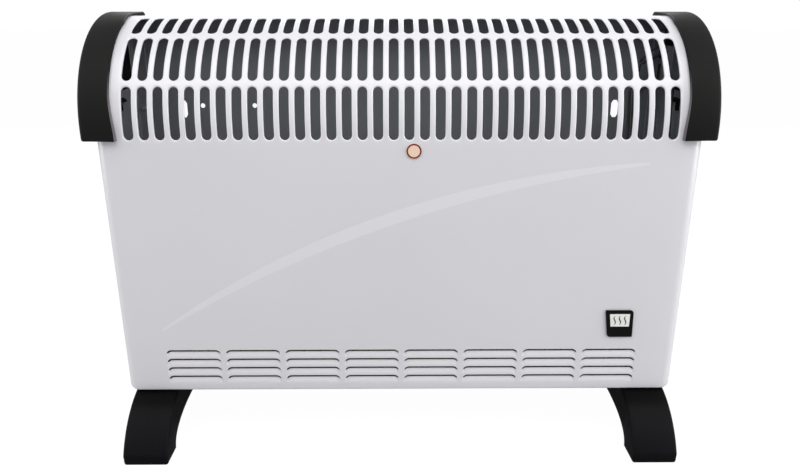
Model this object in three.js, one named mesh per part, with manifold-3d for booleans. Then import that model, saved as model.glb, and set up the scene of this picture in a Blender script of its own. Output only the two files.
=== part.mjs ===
// Portable convector heater: a slotted sheet steel body with plastic end caps, on two plastic feet.
// Millimetres, X to the right, Y to the back, Z up. The origin is on the floor under the body's middle.
import * as THREE from 'three';
import { mergeVertices } from 'three/addons/utils/BufferGeometryUtils.js';
import Module from 'manifold-3d';

// Fits
const CLEARANCE = 0.3;
const SHEET = 0.8;

// Steel body: a flat front that rolls back over the top as a quarter round
const BODY_WIDTH = 512;
const BODY_HEIGHT = 335.3;
const TOP_RADIUS = 92;
const TOP_FLAT = 18;
const SIDE_CORNER_RADIUS = 10;
const LOWER_CORNER_RADIUS = 6;
const FOLD_RADIUS = 3;
const REAR_FLANGE = 12;
const BOTTOM_FLANGE = 14;
const FOOT_FLANGE = 46;
const TOP_FACETS = 6;

// Outlet slots, measured along the skin from where the front starts to curve
const SLOT_WIDTH = 8;
const SLOT_PITCH = 13;
const SLOT_EDGE_MARGIN = 6;
const SLOT_ROWS = [
  { start: -6.8, length: 44.1 },
  { start: 44.2, length: 40.6 },
  { start: 93.3, length: 36.7 },
];

// Inlet louvres low on the front
const LOUVRE_LENGTH = 48;
const LOUVRE_PITCH = 54.9;
const LOUVRE_EDGE_MARGIN = 20;
const LOUVRE_SLIT = 1.6;
const LOUVRE_END_LENGTH = 3.6;
const LOUVRE_END_DROP = 2.4;
const LOUVRE_ROWS = 4;
const LOUVRE_ROW_PITCH = 8.7;
const LOUVRE_ABOVE_BOTTOM = 14.5;
const LOUVRE_DENT_DEPTH = 0.4;
const LOUVRE_DENT_HEIGHT = 5;

// Rear panel
const PANEL_MARGIN = 1;
const HANGING_SLOT_X = 211.5;
const HANGING_SLOT_WIDTH = 7;
const HANGING_SLOT_HEIGHT = 17.6;
const HANGING_SLOT_BELOW_TOP = 78.3;
const TOOLING_HOLES_X = [-192.6, -141.9];
const TOOLING_HOLE_DIAMETER = 4.7;
const TOOLING_HOLE_BELOW_TOP = 83.9;
const REAR_INLET_WIDTH = 6;
const REAR_INLET_HEIGHT = 38;
const REAR_INLET_PITCH = 24;
const REAR_INLET_COUNT = 14;
const REAR_INLET_ABOVE_BOTTOM = 24;
const REAR_SCREWS_ABOVE_BOTTOM = [26, 150];

// Bottom plate
const PLATE_SLOT_WIDTH = 6;
const PLATE_SLOT_LENGTH = 34;
const PLATE_SLOT_PITCH = 14;
const PLATE_SLOT_COUNT = 25;
const PLATE_SLOT_Y = 5;

// End caps
const CAP_OVERHANG = 9.5;
const CAP_OVERLAP = 16;
const CAP_PROUD = 3.5;
const CAP_WALL = 2.5;
const CAP_BELOW_CURVE = 6.9;
const CAP_EDGE_RADIUS = 3;
const CAP_BACK_RADIUS = 6;
const CAP_SCREWS_BELOW_TOP = [15, 86];
const CLIP_WINDOW_WIDTH = 12;
const CLIP_WINDOW_HEIGHT = 11;
const CLIP_Y = 11;
const CLIP_BELOW_TOP = 78.2;
const CLIP_THICKNESS = 2.4;
const CLIP_BARB = 1.5;
const CLIP_BARB_LENGTH = 3;

// Control well in the right end cap
const WELL_WIDTH = 64;
const WELL_HEIGHT = 54;
const WELL_DEPTH = 7;
const WELL_CORNER_RADIUS = 12;
const WELL_FLOOR = 2.2;
const WELL_FROM_BACK = 37;
const WELL_BELOW_TOP = 40.9;

// Thermostat and its knob
const KNOB_DIAMETER = 34;
const KNOB_HEIGHT = 6.6;
const KNOB_SKIRT_HEIGHT = 2.6;
const KNOB_GRIP_DIAMETER = 26;
const KNOB_POINTER_WIDTH = 3;
const KNOB_OFFSET_Y = -10;
const KNOB_REST_DEGREES = 140;
const SHAFT_DIAMETER = 6;
const SHAFT_IN_KNOB = 2.5;
const BUSHING_DIAMETER = 10;
const BUSHING_HEIGHT = 3;
const NUT_ACROSS_FLATS = 14;
const NUT_THICKNESS = 2.5;
const THERMOSTAT_WIDTH = 26;
const THERMOSTAT_HEIGHT = 30;
const THERMOSTAT_DEPTH = 16;
const SHAFT_SOCKET_DEPTH = 12;

// Rocker switches
const SWITCH_PITCH = 24;
const SWITCH_OFFSET_Y = 20;
const BEZEL_WIDTH = 15;
const BEZEL_HEIGHT = 21;
const BEZEL_THICKNESS = 1.8;
const SWITCH_BODY_WIDTH = 12.4;
const SWITCH_BODY_HEIGHT = 18.6;
const SWITCH_BODY_DEPTH = 13;
const SWITCH_POCKET_WIDTH = 10.2;
const SWITCH_POCKET_DEPTH = 7.4;
const ROCKER_LENGTH = 14;
const ROCKER_PIVOT_DEPTH = 0.6;
const ROCKER_EAR_HEIGHT = 4.5;
const ROCKER_MIDDLE_HEIGHT = 3.2;
const ROCKER_TILT_DEGREES = 10;
const ROCKER_PIN_DIAMETER = 2;

// Heating element: two mica boards in three brackets
const BOARD_HEIGHT = 60;
const BOARD_THICKNESS = 1;
const BOARD_SPACING = 22;
const BOARD_ABOVE_PLATE = 6;
const ELEMENT_Y = -4;
const BRACKET_FROM_BOARD_END = 6;
const BRACKET_WIDTH = 52;
const BRACKET_HEIGHT = 96;
const BRACKET_SHEET = 1.2;
const BRACKET_BASE = 20;
const WIRE_THICKNESS = 0.6;
const WIRE_WIDTH = 1.6;
const WIRE_LOOPS = 12;
const WIRE_SPAN = 380;
const WIRE_MARGIN = 4;
const WIRE_SIDE_MARGIN = 16;
const WIRE_TAIL = 1.5;
const CUTOUT_DIAMETER = 16;
const CUTOUT_NECK_DIAMETER = 10.6;
const CUTOUT_LENGTH = 7;
const CUTOUT_BELOW_TOP = 10;

// Heat shield in front of the rear panel
const SHIELD_LENGTH = 390;
const SHIELD_HEIGHT = 150;
const SHIELD_FLANGE = 13;
const SHIELD_FROM_BACK = 17;
const SHIELD_SCREW_FROM_END = 41;

// Mains inlet: a cord gland and a terminal block
const GLAND_X = 222;
const GLAND_ABOVE_BOTTOM = 30;
const GLAND_HOLE = 14;
const GLAND_BORE = 8;
const GLAND_FLANGE = 20;
const GLAND_FLANGE_THICKNESS = 3;
const GLAND_LIP_DIAMETER = 17;
const GLAND_LIP_LENGTH = 5;
const TERMINAL_LENGTH = 30;
const TERMINAL_WIDTH = 16;
const TERMINAL_HEIGHT = 14;
const TERMINAL_X = 234;
const TERMINAL_Y = -4;
const TERMINAL_PITCH = 8;
const TERMINAL_HOLE = 4;
const TERMINAL_HOLE_DEPTH = 6;
const LEAD_DIAMETER = 2.8;
const LEAD_BEND = 20;
const LEAD_STEPS = 12;
const SWITCH_TERMINAL = 5;

// Feet
const FOOT_HEIGHT = 50.3;
const FOOT_LENGTH = 200;
const FOOT_TOP_LENGTH = 100;
const FOOT_WIDTH = 40;
const FOOT_INSET = 6;
const FOOT_NOSE_HEIGHT = 9;
const FOOT_TOE_SETBACK = 1;
const FOOT_SHOULDER_BULGE = 7.3;
const FOOT_PAD_LENGTH = 27;
const FOOT_ARCH_HEIGHT = 24;
const FOOT_ARCH_SQUARENESS = 2.4;
const FOOT_EDGE_RADIUS = 2.5;
const FOOT_WALL = 3;
const FOOT_POCKET_LENGTH = 88;
const FOOT_BOSS_DIAMETER = 13;
const FOOT_SCREW_SPACING = 50;
const FOOT_SCREW_SEAT = 8;

// Trim on the front
const BADGE_WIDTH = 24.5;
const BADGE_HEIGHT = 26;
const BADGE_X = 200;
const BADGE_ABOVE_BOTTOM = 68.1;
const BADGE_SMALL_RADIUS = 1.5;
const BADGE_LARGE_RADIUS = 6;
const BADGE_THICKNESS = 1;
const STICKER_DIAMETER = 13.3;
const STICKER_X = 11.4;
const STICKER_BELOW_CURVE = 15.9;
const STICKER_THICKNESS = 0.4;

// Screws
const SHEET_SCREW = { head: 7, headHeight: 2.2, shank: 3.5, length: 9 };
const PLATE_SCREW = { head: 6, headHeight: 2, shank: 3 };
const FOOT_SCREW_HEAD = 8;
const FOOT_SCREW_HEAD_HEIGHT = 2.6;
const FOOT_SCREW_SHANK = 4;
const FOOT_SCREW_GRIP = 2.5;

// Derived places
const BODY_HALF = BODY_WIDTH / 2;
const BODY_DEPTH = TOP_RADIUS + TOP_FLAT;
const FRONT_Y = -BODY_DEPTH / 2;
const BACK_Y = BODY_DEPTH / 2;
const SHELL_BACK_Y = BACK_Y - SHEET - CLEARANCE;
const CURVE_Y = FRONT_Y + TOP_RADIUS;
const BODY_BOTTOM_Z = FOOT_HEIGHT + CLEARANCE;
const BODY_TOP_Z = BODY_BOTTOM_Z + BODY_HEIGHT;
const CURVE_Z = BODY_TOP_Z - TOP_RADIUS;
const FLANGE_CENTRE_X = BODY_HALF - SHEET - REAR_FLANGE / 2;
const PLATE_BOTTOM_Z = BODY_BOTTOM_Z + SHEET + CLEARANCE;
const PLATE_TOP_Z = PLATE_BOTTOM_Z + SHEET;
const ON_PLATE_Z = PLATE_TOP_Z + CLEARANCE;
const CAP_OUTER_X = BODY_HALF + CAP_OVERHANG;
const CAP_INNER_X = BODY_HALF - CAP_OVERLAP;
const CAP_BOTTOM_Z = CURVE_Z - CAP_BELOW_CURVE;
const WELL_FLOOR_X = CAP_OUTER_X - WELL_DEPTH;
const WELL_Y = BACK_Y - WELL_FROM_BACK;
const WELL_Z = BODY_TOP_Z - WELL_BELOW_TOP;
const FOOT_X = BODY_HALF - FOOT_INSET - FOOT_WIDTH / 2;
const BOARD_LENGTH = WIRE_SPAN + 2 * WIRE_SIDE_MARGIN;
const BRACKET_X = BOARD_LENGTH / 2 - BRACKET_FROM_BOARD_END;
const BRACKET_SCREW_OFFSET = PLATE_SLOT_PITCH / 2;
const SHIELD_SCREW_X = SHIELD_LENGTH / 2 - SHIELD_SCREW_FROM_END;
const SCREW_PLAY = 2 * CLEARANCE;
const CUT_THROUGH = 6;
const QUARTER = Math.PI / 2;

// Finishes
const WHITE_ENAMEL = { color: 0xd2d0d6, roughness: 0.35, metalness: 0.1 };
const GREY_STEEL = { color: 0x5a5d60, roughness: 0.5, metalness: 0.6 };
const BRIGHT_STEEL = { color: 0xb4b6b8, roughness: 0.35, metalness: 0.9 };
const BLACK_PLASTIC = { color: 0x2d2e2e, roughness: 0.6, metalness: 0 };
const BLACK_GLOSS = { color: 0x17181a, roughness: 0.3, metalness: 0 };
const MICA = { color: 0xb9a98a, roughness: 0.7, metalness: 0 };
const HEATING_ALLOY = { color: 0x7d7468, roughness: 0.45, metalness: 0.8 };
const CREAM_CERAMIC = { color: 0xe6e0cf, roughness: 0.5, metalness: 0 };
const LEAD_SLEEVE = { color: 0xd8d4c4, roughness: 0.7, metalness: 0 };
const RED_PRINT = { color: 0xc23a34, roughness: 0.5, metalness: 0 };

const manifold = await Module();
manifold.setup();

// ---- Turning geometry into solids and back ----

function solidOf(geometry) {
  const bare = geometry.clone();
  bare.deleteAttribute('normal');
  bare.deleteAttribute('uv');
  const welded = mergeVertices(bare);
  const corners = welded.index.array;
  const triangles = [];
  for (let i = 0; i < corners.length; i += 3) {
    const [a, b, c] = corners.slice(i, i + 3);
    const collapsed = a === b || b === c || c === a;
    if (!collapsed) triangles.push(a, b, c);
  }
  const vertProperties = Float32Array.from(welded.attributes.position.array);
  const triVerts = Uint32Array.from(triangles);
  return new manifold.Manifold(new manifold.Mesh({ numProp: 3, vertProperties, triVerts }));
}

function geometryOf(solid) {
  const mesh = solid.getMesh();
  const geometry = new THREE.BufferGeometry();
  const positions = new Float32Array(mesh.numVert * 3);
  for (let i = 0; i < mesh.numVert; i += 1) {
    const start = i * mesh.numProp;
    positions.set(mesh.vertProperties.subarray(start, start + 3), i * 3);
  }
  geometry.setAttribute('position', new THREE.BufferAttribute(positions, 3));
  geometry.setIndex(new THREE.BufferAttribute(Uint32Array.from(mesh.triVerts), 1));
  geometry.computeVertexNormals();
  return geometry;
}

function joined(solids) {
  return solids.reduce((sum, solid) => sum.add(solid));
}

function without(solid, cutters) {
  return solid.subtract(joined(cutters));
}

// The same solid on the other side of the middle plane.
function mirrored(solid) {
  const geometry = geometryOf(solid);
  geometry.scale(-1, 1, 1);
  const corners = geometry.index.array;
  for (let i = 0; i < corners.length; i += 3) {
    [corners[i], corners[i + 1]] = [corners[i + 1], corners[i]];
  }
  return solidOf(geometry);
}

// ---- Outlines ----

function arcPoints(x, y, radius, fromDegrees, toDegrees, steps) {
  const points = [];
  for (let i = 0; i <= steps; i += 1) {
    const angle = THREE.MathUtils.degToRad(fromDegrees + ((toDegrees - fromDegrees) * i) / steps);
    points.push(new THREE.Vector2(x + radius * Math.cos(angle), y + radius * Math.sin(angle)));
  }
  return points;
}

// A rectangle whose corners are rounded, with one radius or four: lower left, lower right,
// upper right, upper left.
function roundedRectangle(left, right, low, high, radius, steps = 3) {
  const [r1, r2, r3, r4] = Array.isArray(radius) ? radius : [radius, radius, radius, radius];
  return new THREE.Shape([
    ...arcPoints(left + r1, low + r1, r1, 180, 270, steps),
    ...arcPoints(right - r2, low + r2, r2, 270, 360, steps),
    ...arcPoints(right - r3, high - r3, r3, 0, 90, steps),
    ...arcPoints(left + r4, high - r4, r4, 90, 180, steps),
  ]);
}

function rectangle(left, right, low, high) {
  return new THREE.Shape([
    new THREE.Vector2(left, low),
    new THREE.Vector2(right, low),
    new THREE.Vector2(right, high),
    new THREE.Vector2(left, high),
  ]);
}

// A slot with round ends that runs upwards from its start.
function roundEnded(x, start, length, width, steps = 3) {
  const radius = width / 2;
  return new THREE.Shape([
    ...arcPoints(x, start + radius, radius, 180, 360, steps),
    ...arcPoints(x, start + length - radius, radius, 0, 180, steps),
  ]);
}

function circle(x, y, diameter, sides) {
  return new THREE.Shape(arcPoints(x, y, diameter / 2, 0, 360, sides).slice(0, sides));
}

// ---- Prisms and turned parts ----

const X_AXIS = new THREE.Vector3(1, 0, 0);
const Y_AXIS = new THREE.Vector3(0, 1, 0);
const Z_AXIS = new THREE.Vector3(0, 0, 1);
const OUTLINE_IN_YZ = new THREE.Matrix4().makeBasis(Y_AXIS, Z_AXIS, X_AXIS);
const OUTLINE_IN_XZ = new THREE.Matrix4().makeBasis(X_AXIS, Z_AXIS, Y_AXIS.clone().negate());

function extruded(shape, depth) {
  return new THREE.ExtrudeGeometry(shape, { depth, bevelEnabled: false });
}

// An outline in Y and Z, carried along X.
function prismAlongX(shape, from, to) {
  return solidOf(extruded(shape, to - from).applyMatrix4(OUTLINE_IN_YZ).translate(from, 0, 0));
}

// An outline in X and Z, carried along Y.
function prismAlongY(shape, from, to) {
  return solidOf(extruded(shape, to - from).applyMatrix4(OUTLINE_IN_XZ).translate(0, to, 0));
}

// An outline in X and Y, carried along Z.
function prismAlongZ(shape, from, to) {
  return solidOf(extruded(shape, to - from).translate(0, 0, from));
}

// An outline in Y and Z, carried along X, with its two end faces rounded off at the rim.
function rimmedPrismAlongX(shape, from, to, radius, steps) {
  const settings = {
    depth: to - from - 2 * radius,
    bevelThickness: radius,
    bevelSize: radius,
    bevelOffset: -radius,
    bevelSegments: steps,
  };
  const geometry = new THREE.ExtrudeGeometry(shape, settings);
  return solidOf(geometry.applyMatrix4(OUTLINE_IN_YZ).translate(from + radius, 0, 0));
}

function block(fromX, toX, fromY, toY, fromZ, toZ) {
  const geometry = new THREE.BoxGeometry(toX - fromX, toY - fromY, toZ - fromZ);
  return solidOf(geometry.translate((fromX + toX) / 2, (fromY + toY) / 2, (fromZ + toZ) / 2));
}

// A profile of [radius, height] pairs, turned about Z.
function turned(profile, sides) {
  const points = profile.map(([radius, height]) => new THREE.Vector2(radius, height));
  return solidOf(new THREE.LatheGeometry(points, sides).rotateX(QUARTER));
}

function rodAlongZ(x, y, fromZ, toZ, diameter, sides = 12) {
  return prismAlongZ(circle(x, y, diameter, sides), fromZ, toZ);
}

function rodAlongY(x, z, fromY, toY, diameter, sides = 12) {
  return prismAlongY(circle(x, z, diameter, sides), fromY, toY);
}

function rodAlongX(y, z, fromX, toX, diameter, sides = 12) {
  return prismAlongX(circle(y, z, diameter, sides), fromX, toX);
}

// ---- The model ----

const heater = new THREE.Group();
heater.name = 'convector_heater';

function piece(name, solid, finish, parent = heater) {
  const mesh = new THREE.Mesh(geometryOf(solid), new THREE.MeshStandardMaterial(finish));
  mesh.name = name;
  parent.add(mesh);
  return mesh;
}

// Evenly spaced places along a line, centred on zero.
function spread(count, pitch) {
  return Array.from({ length: count }, (_, i) => (i - (count - 1) / 2) * pitch);
}

// ---- Steel body ----

// The body seen from its right side, moved in by inset.
function sideOutline(inset, backY) {
  const front = FRONT_Y + inset;
  const back = backY - inset;
  const low = BODY_BOTTOM_Z + inset;
  const high = BODY_TOP_Z - inset;
  const fold = Math.max(FOLD_RADIUS - inset, CLEARANCE);
  return new THREE.Shape([
    ...arcPoints(front + fold, low + fold, fold, 180, 270, 2),
    ...arcPoints(back - fold, low + fold, fold, 270, 360, 2),
    ...arcPoints(back - fold, high - fold, fold, 0, 90, 2),
    ...arcPoints(CURVE_Y, CURVE_Z, TOP_RADIUS - inset, 90, 180, TOP_FACETS),
  ]);
}

// The whole body as one block: what its side, top and front outlines have in common.
function bodyForm(inset, backY) {
  const half = BODY_HALF - inset;
  const front = FRONT_Y + inset;
  const low = BODY_BOTTOM_Z + inset;
  const high = BODY_TOP_Z - inset;
  const sideCorner = SIDE_CORNER_RADIUS - inset;
  const lowerCorner = LOWER_CORNER_RADIUS - inset;
  const fold = Math.max(FOLD_RADIUS - inset, CLEARANCE);
  const plan = roundedRectangle(-half, half, front, backY - inset, [sideCorner, sideCorner, fold, fold]);
  const face = roundedRectangle(-half, half, low, high, [lowerCorner, lowerCorner, fold, fold]);
  const side = prismAlongX(sideOutline(inset, backY), -half, half);
  return side.intersect(prismAlongZ(plan, low, high)).intersect(prismAlongY(face, front, backY));
}

// Bends a geometry drawn flat onto the skin: x stays, y runs along the skin from where the curve
// starts, and z stands out from it.
function bentOverTop(geometry) {
  const place = geometry.attributes.position;
  const curveLength = TOP_RADIUS * QUARTER;
  for (let i = 0; i < place.count; i += 1) {
    const along = place.getY(i);
    const out = place.getZ(i);
    const angle = THREE.MathUtils.clamp(along / TOP_RADIUS, 0, QUARTER);
    const before = Math.min(along, 0);
    const beyond = Math.max(along - curveLength, 0);
    const radius = TOP_RADIUS + out;
    const y = CURVE_Y - radius * Math.cos(angle) + beyond;
    place.setXYZ(i, place.getX(i), y, CURVE_Z + radius * Math.sin(angle) + before);
  }
  return geometry;
}

function outletSlots() {
  const room = 2 * (CAP_INNER_X - SLOT_EDGE_MARGIN) + SLOT_PITCH - SLOT_WIDTH;
  const places = spread(Math.floor(room / SLOT_PITCH), SLOT_PITCH);
  return SLOT_ROWS.flatMap(({ start, length }) => places.map((x) => {
    const cutter = extruded(roundEnded(x, start, length, SLOT_WIDTH), 2 * CUT_THROUGH);
    return solidOf(bentOverTop(cutter.translate(0, 0, -CUT_THROUGH)));
  }));
}

// One louvre: a slit whose ends turn down, over a dent that fades out below it.
function louvre(x, z) {
  const half = LOUVRE_LENGTH / 2;
  const straight = half - LOUVRE_END_LENGTH;
  const up = LOUVRE_SLIT / 2;
  const slit = new THREE.Shape([
    new THREE.Vector2(x - half, z - LOUVRE_END_DROP),
    new THREE.Vector2(x - half + up, z - LOUVRE_END_DROP - up),
    new THREE.Vector2(x - straight, z - up),
    new THREE.Vector2(x + straight, z - up),
    new THREE.Vector2(x + half - up, z - LOUVRE_END_DROP - up),
    new THREE.Vector2(x + half, z - LOUVRE_END_DROP),
    new THREE.Vector2(x + straight, z + up),
    new THREE.Vector2(x - straight, z + up),
  ]);
  const dent = new THREE.Shape([
    new THREE.Vector2(FRONT_Y - LOUVRE_DENT_DEPTH, z),
    new THREE.Vector2(FRONT_Y - LOUVRE_DENT_DEPTH, z - 2 * LOUVRE_DENT_HEIGHT),
    new THREE.Vector2(FRONT_Y + LOUVRE_DENT_DEPTH, z),
  ]);
  return [
    prismAlongY(slit, FRONT_Y - CUT_THROUGH, FRONT_Y + CUT_THROUGH),
    prismAlongX(dent, x - straight, x + straight),
  ];
}

function inletLouvres() {
  const room = 2 * (BODY_HALF - LOUVRE_EDGE_MARGIN) + LOUVRE_PITCH - LOUVRE_LENGTH;
  const places = spread(Math.floor(room / LOUVRE_PITCH), LOUVRE_PITCH);
  const lowest = BODY_BOTTOM_Z + LOUVRE_ABOVE_BOTTOM;
  const rows = Array.from({ length: LOUVRE_ROWS }, (_, i) => lowest + i * LOUVRE_ROW_PITCH);
  return rows.flatMap((z) => places.flatMap((x) => louvre(x, z)));
}

const FOOT_SCREW_PLACES = [-1, 1].flatMap((side) => [-1, 1].map((end) => (
  [side * FOOT_X, (end * FOOT_SCREW_SPACING) / 2]
)));
const REAR_SCREW_PLACES = [
  ...REAR_SCREWS_ABOVE_BOTTOM.flatMap((up) => [
    [-FLANGE_CENTRE_X, BODY_BOTTOM_Z + up],
    [FLANGE_CENTRE_X, BODY_BOTTOM_Z + up],
  ]),
  [0, BODY_BOTTOM_Z + SHEET + REAR_FLANGE / 2],
  [0, BODY_TOP_Z - SHEET - REAR_FLANGE / 2],
];
const CAP_SCREW_PLACES = CAP_SCREWS_BELOW_TOP.flatMap((down) => [
  [-FLANGE_CENTRE_X, BODY_TOP_Z - down],
  [FLANGE_CENTRE_X, BODY_TOP_Z - down],
]);

function screwHolesInBack() {
  return [...REAR_SCREW_PLACES, ...CAP_SCREW_PLACES].map(([x, z]) => (
    rodAlongY(x, z, BACK_Y - CUT_THROUGH, BACK_Y + CUT_THROUGH, SHEET_SCREW.shank + SCREW_PLAY, 8)
  ));
}

function screwHolesInBottom() {
  const low = BODY_BOTTOM_Z - CUT_THROUGH;
  const high = PLATE_TOP_Z + CUT_THROUGH;
  const diameter = FOOT_SCREW_SHANK + SCREW_PLAY;
  return FOOT_SCREW_PLACES.map(([x, y]) => rodAlongZ(x, y, low, high, diameter, 8));
}

const CLIP_Z = BODY_TOP_Z - CLIP_BELOW_TOP;

function frontShell() {
  const inside = BODY_HALF - SHEET;
  const rearWindow = block(
    -inside + REAR_FLANGE, inside - REAR_FLANGE,
    SHELL_BACK_Y - CUT_THROUGH, SHELL_BACK_Y + CUT_THROUGH,
    BODY_BOTTOM_Z + SHEET + REAR_FLANGE, BODY_TOP_Z - SHEET - REAR_FLANGE,
  );
  const bottomWindow = block(
    -BODY_HALF + FOOT_FLANGE, BODY_HALF - FOOT_FLANGE,
    FRONT_Y + BOTTOM_FLANGE, SHELL_BACK_Y - BOTTOM_FLANGE,
    BODY_BOTTOM_Z - CUT_THROUGH, BODY_BOTTOM_Z + CUT_THROUGH,
  );
  const controlWindow = block(
    BODY_HALF - CUT_THROUGH, BODY_HALF + CUT_THROUGH,
    WELL_Y - WELL_WIDTH / 2 + CAP_WALL, WELL_Y + WELL_WIDTH / 2 - CAP_WALL,
    WELL_Z - WELL_HEIGHT / 2 + CAP_WALL, WELL_Z + WELL_HEIGHT / 2 - CAP_WALL,
  );
  const clipWindow = block(
    -BODY_HALF - CUT_THROUGH, BODY_HALF + CUT_THROUGH,
    CLIP_Y - CLIP_WINDOW_WIDTH / 2, CLIP_Y + CLIP_WINDOW_WIDTH / 2,
    CLIP_Z - CLIP_WINDOW_HEIGHT / 2, CLIP_Z + CLIP_WINDOW_HEIGHT / 2,
  );
  const windows = [rearWindow, bottomWindow, controlWindow, clipWindow];
  const sheet = bodyForm(0, SHELL_BACK_Y).subtract(bodyForm(SHEET, SHELL_BACK_Y));
  return without(without(sheet, windows), [
    ...outletSlots(),
    ...inletLouvres(),
    ...screwHolesInBack(),
    ...screwHolesInBottom(),
  ]);
}

piece('front_shell', frontShell(), WHITE_ENAMEL);

// ---- Rear panel ----

const HANGING_SLOT_Z = BODY_TOP_Z - HANGING_SLOT_BELOW_TOP - HANGING_SLOT_HEIGHT;
const GLAND_Z = BODY_BOTTOM_Z + GLAND_ABOVE_BOTTOM;

// The panel's outline between two depths, grown by a margin.
function panelForm(grow, fromY, toY) {
  const half = BODY_HALF - PANEL_MARGIN + grow;
  const low = BODY_BOTTOM_Z + PANEL_MARGIN - grow;
  const high = BODY_TOP_Z - PANEL_MARGIN + grow;
  return prismAlongY(roundedRectangle(-half, half, low, high, FOLD_RADIUS, 2), fromY, toY);
}

function rearPanel() {
  const sheet = panelForm(0, BACK_Y - SHEET, BACK_Y);
  const from = BACK_Y - CUT_THROUGH;
  const to = BACK_Y + CUT_THROUGH;
  const hanging = [-HANGING_SLOT_X, HANGING_SLOT_X].map((x) => prismAlongY(
    roundEnded(x, HANGING_SLOT_Z, HANGING_SLOT_HEIGHT, HANGING_SLOT_WIDTH), from, to,
  ));
  const tooling = TOOLING_HOLES_X.map((x) => (
    rodAlongY(x, BODY_TOP_Z - TOOLING_HOLE_BELOW_TOP, from, to, TOOLING_HOLE_DIAMETER, 8)
  ));
  const inletZ = BODY_BOTTOM_Z + REAR_INLET_ABOVE_BOTTOM;
  const inlets = spread(REAR_INLET_COUNT, REAR_INLET_PITCH).map((x) => prismAlongY(
    roundEnded(x, inletZ, REAR_INLET_HEIGHT, REAR_INLET_WIDTH), from, to,
  ));
  const gland = rodAlongY(GLAND_X, GLAND_Z, from, to, GLAND_HOLE, 16);
  return without(sheet, [...hanging, ...tooling, ...inlets, gland, ...screwHolesInBack()]);
}

piece('rear_panel', rearPanel(), WHITE_ENAMEL);

// ---- Bottom plate ----

const BRACKET_PLACES = [
  { name: 'left', x: -BRACKET_X, baseSide: 1 },
  { name: 'centre', x: 0, baseSide: 1 },
  { name: 'right', x: BRACKET_X, baseSide: -1 },
];
const SHIELD_Y = BACK_Y - SHIELD_FROM_BACK;
const SHIELD_SCREW_Y = SHIELD_Y - SHIELD_FLANGE / 2;

// The small screws that hold the brackets and the heat shield to the bottom plate. Each stands in
// the web between two slots, on a seat as thick as the sheet that it holds down.
const PLATE_SCREW_PLACES = [
  ...BRACKET_PLACES.map(({ name, x, baseSide }) => ({
    name: `${name}_bracket_screw`,
    x: x + baseSide * BRACKET_SCREW_OFFSET,
    y: ELEMENT_Y,
    seat: BRACKET_SHEET,
  })),
  { name: 'left_shield_screw', x: -SHIELD_SCREW_X, y: SHIELD_SCREW_Y, seat: SHEET },
  { name: 'right_shield_screw', x: SHIELD_SCREW_X, y: SHIELD_SCREW_Y, seat: SHEET },
];

function screwHolesInPlate() {
  const low = PLATE_BOTTOM_Z - CUT_THROUGH;
  const high = ON_PLATE_Z + CUT_THROUGH;
  const diameter = PLATE_SCREW.shank + SCREW_PLAY;
  return PLATE_SCREW_PLACES.map(({ x, y }) => rodAlongZ(x, y, low, high, diameter, 8));
}

function bottomPlate() {
  const half = BODY_HALF - SIDE_CORNER_RADIUS;
  const front = FRONT_Y + FOLD_RADIUS + CLEARANCE;
  const back = SHELL_BACK_Y - FOLD_RADIUS - CLEARANCE;
  const sheet = prismAlongZ(rectangle(-half, half, front, back), PLATE_BOTTOM_Z, PLATE_TOP_Z);
  const slots = spread(PLATE_SLOT_COUNT, PLATE_SLOT_PITCH).map((x) => block(
    x - PLATE_SLOT_WIDTH / 2, x + PLATE_SLOT_WIDTH / 2,
    PLATE_SLOT_Y - PLATE_SLOT_LENGTH / 2, PLATE_SLOT_Y + PLATE_SLOT_LENGTH / 2,
    PLATE_BOTTOM_Z - CUT_THROUGH, PLATE_TOP_Z + CUT_THROUGH,
  ));
  return without(sheet, [...slots, ...screwHolesInBottom(), ...screwHolesInPlate()]);
}

piece('bottom_plate', bottomPlate(), GREY_STEEL);

// ---- End caps ----

// The cap seen from its right side, moved in by inset.
function capOutline(inset) {
  const front = FRONT_Y - CAP_PROUD + inset;
  const back = BACK_Y + CAP_PROUD - inset;
  const low = CAP_BOTTOM_Z + inset;
  const high = BODY_TOP_Z + CAP_PROUD - inset;
  const corner = CAP_BACK_RADIUS - inset;
  return new THREE.Shape([
    new THREE.Vector2(front, low),
    new THREE.Vector2(back, low),
    ...arcPoints(back - corner, high - corner, corner, 0, 90, 2),
    ...arcPoints(CURVE_Y, CURVE_Z, TOP_RADIUS + CAP_PROUD - inset, 90, 180, TOP_FACETS),
  ]);
}

// The snap hook that reaches through the body's side wall and catches behind it.
function capClip() {
  const top = CLIP_Z + CLIP_WINDOW_HEIGHT / 2 - CLEARANCE;
  const wallInside = BODY_HALF - SHEET - CLEARANCE;
  const tip = wallInside - CLIP_BARB_LENGTH;
  const from = CLIP_Y - CLIP_WINDOW_WIDTH / 2 + CLEARANCE;
  const to = CLIP_Y + CLIP_WINDOW_WIDTH / 2 - CLEARANCE;
  const hook = new THREE.Shape([
    new THREE.Vector2(tip, top - CLIP_THICKNESS),
    new THREE.Vector2(CAP_OUTER_X - CAP_WALL / 2, top - CLIP_THICKNESS),
    new THREE.Vector2(CAP_OUTER_X - CAP_WALL / 2, top),
    new THREE.Vector2(wallInside, top),
    new THREE.Vector2(wallInside, top + CLIP_BARB),
    new THREE.Vector2(tip, top),
  ]);
  return prismAlongY(hook, from, to);
}

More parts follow.
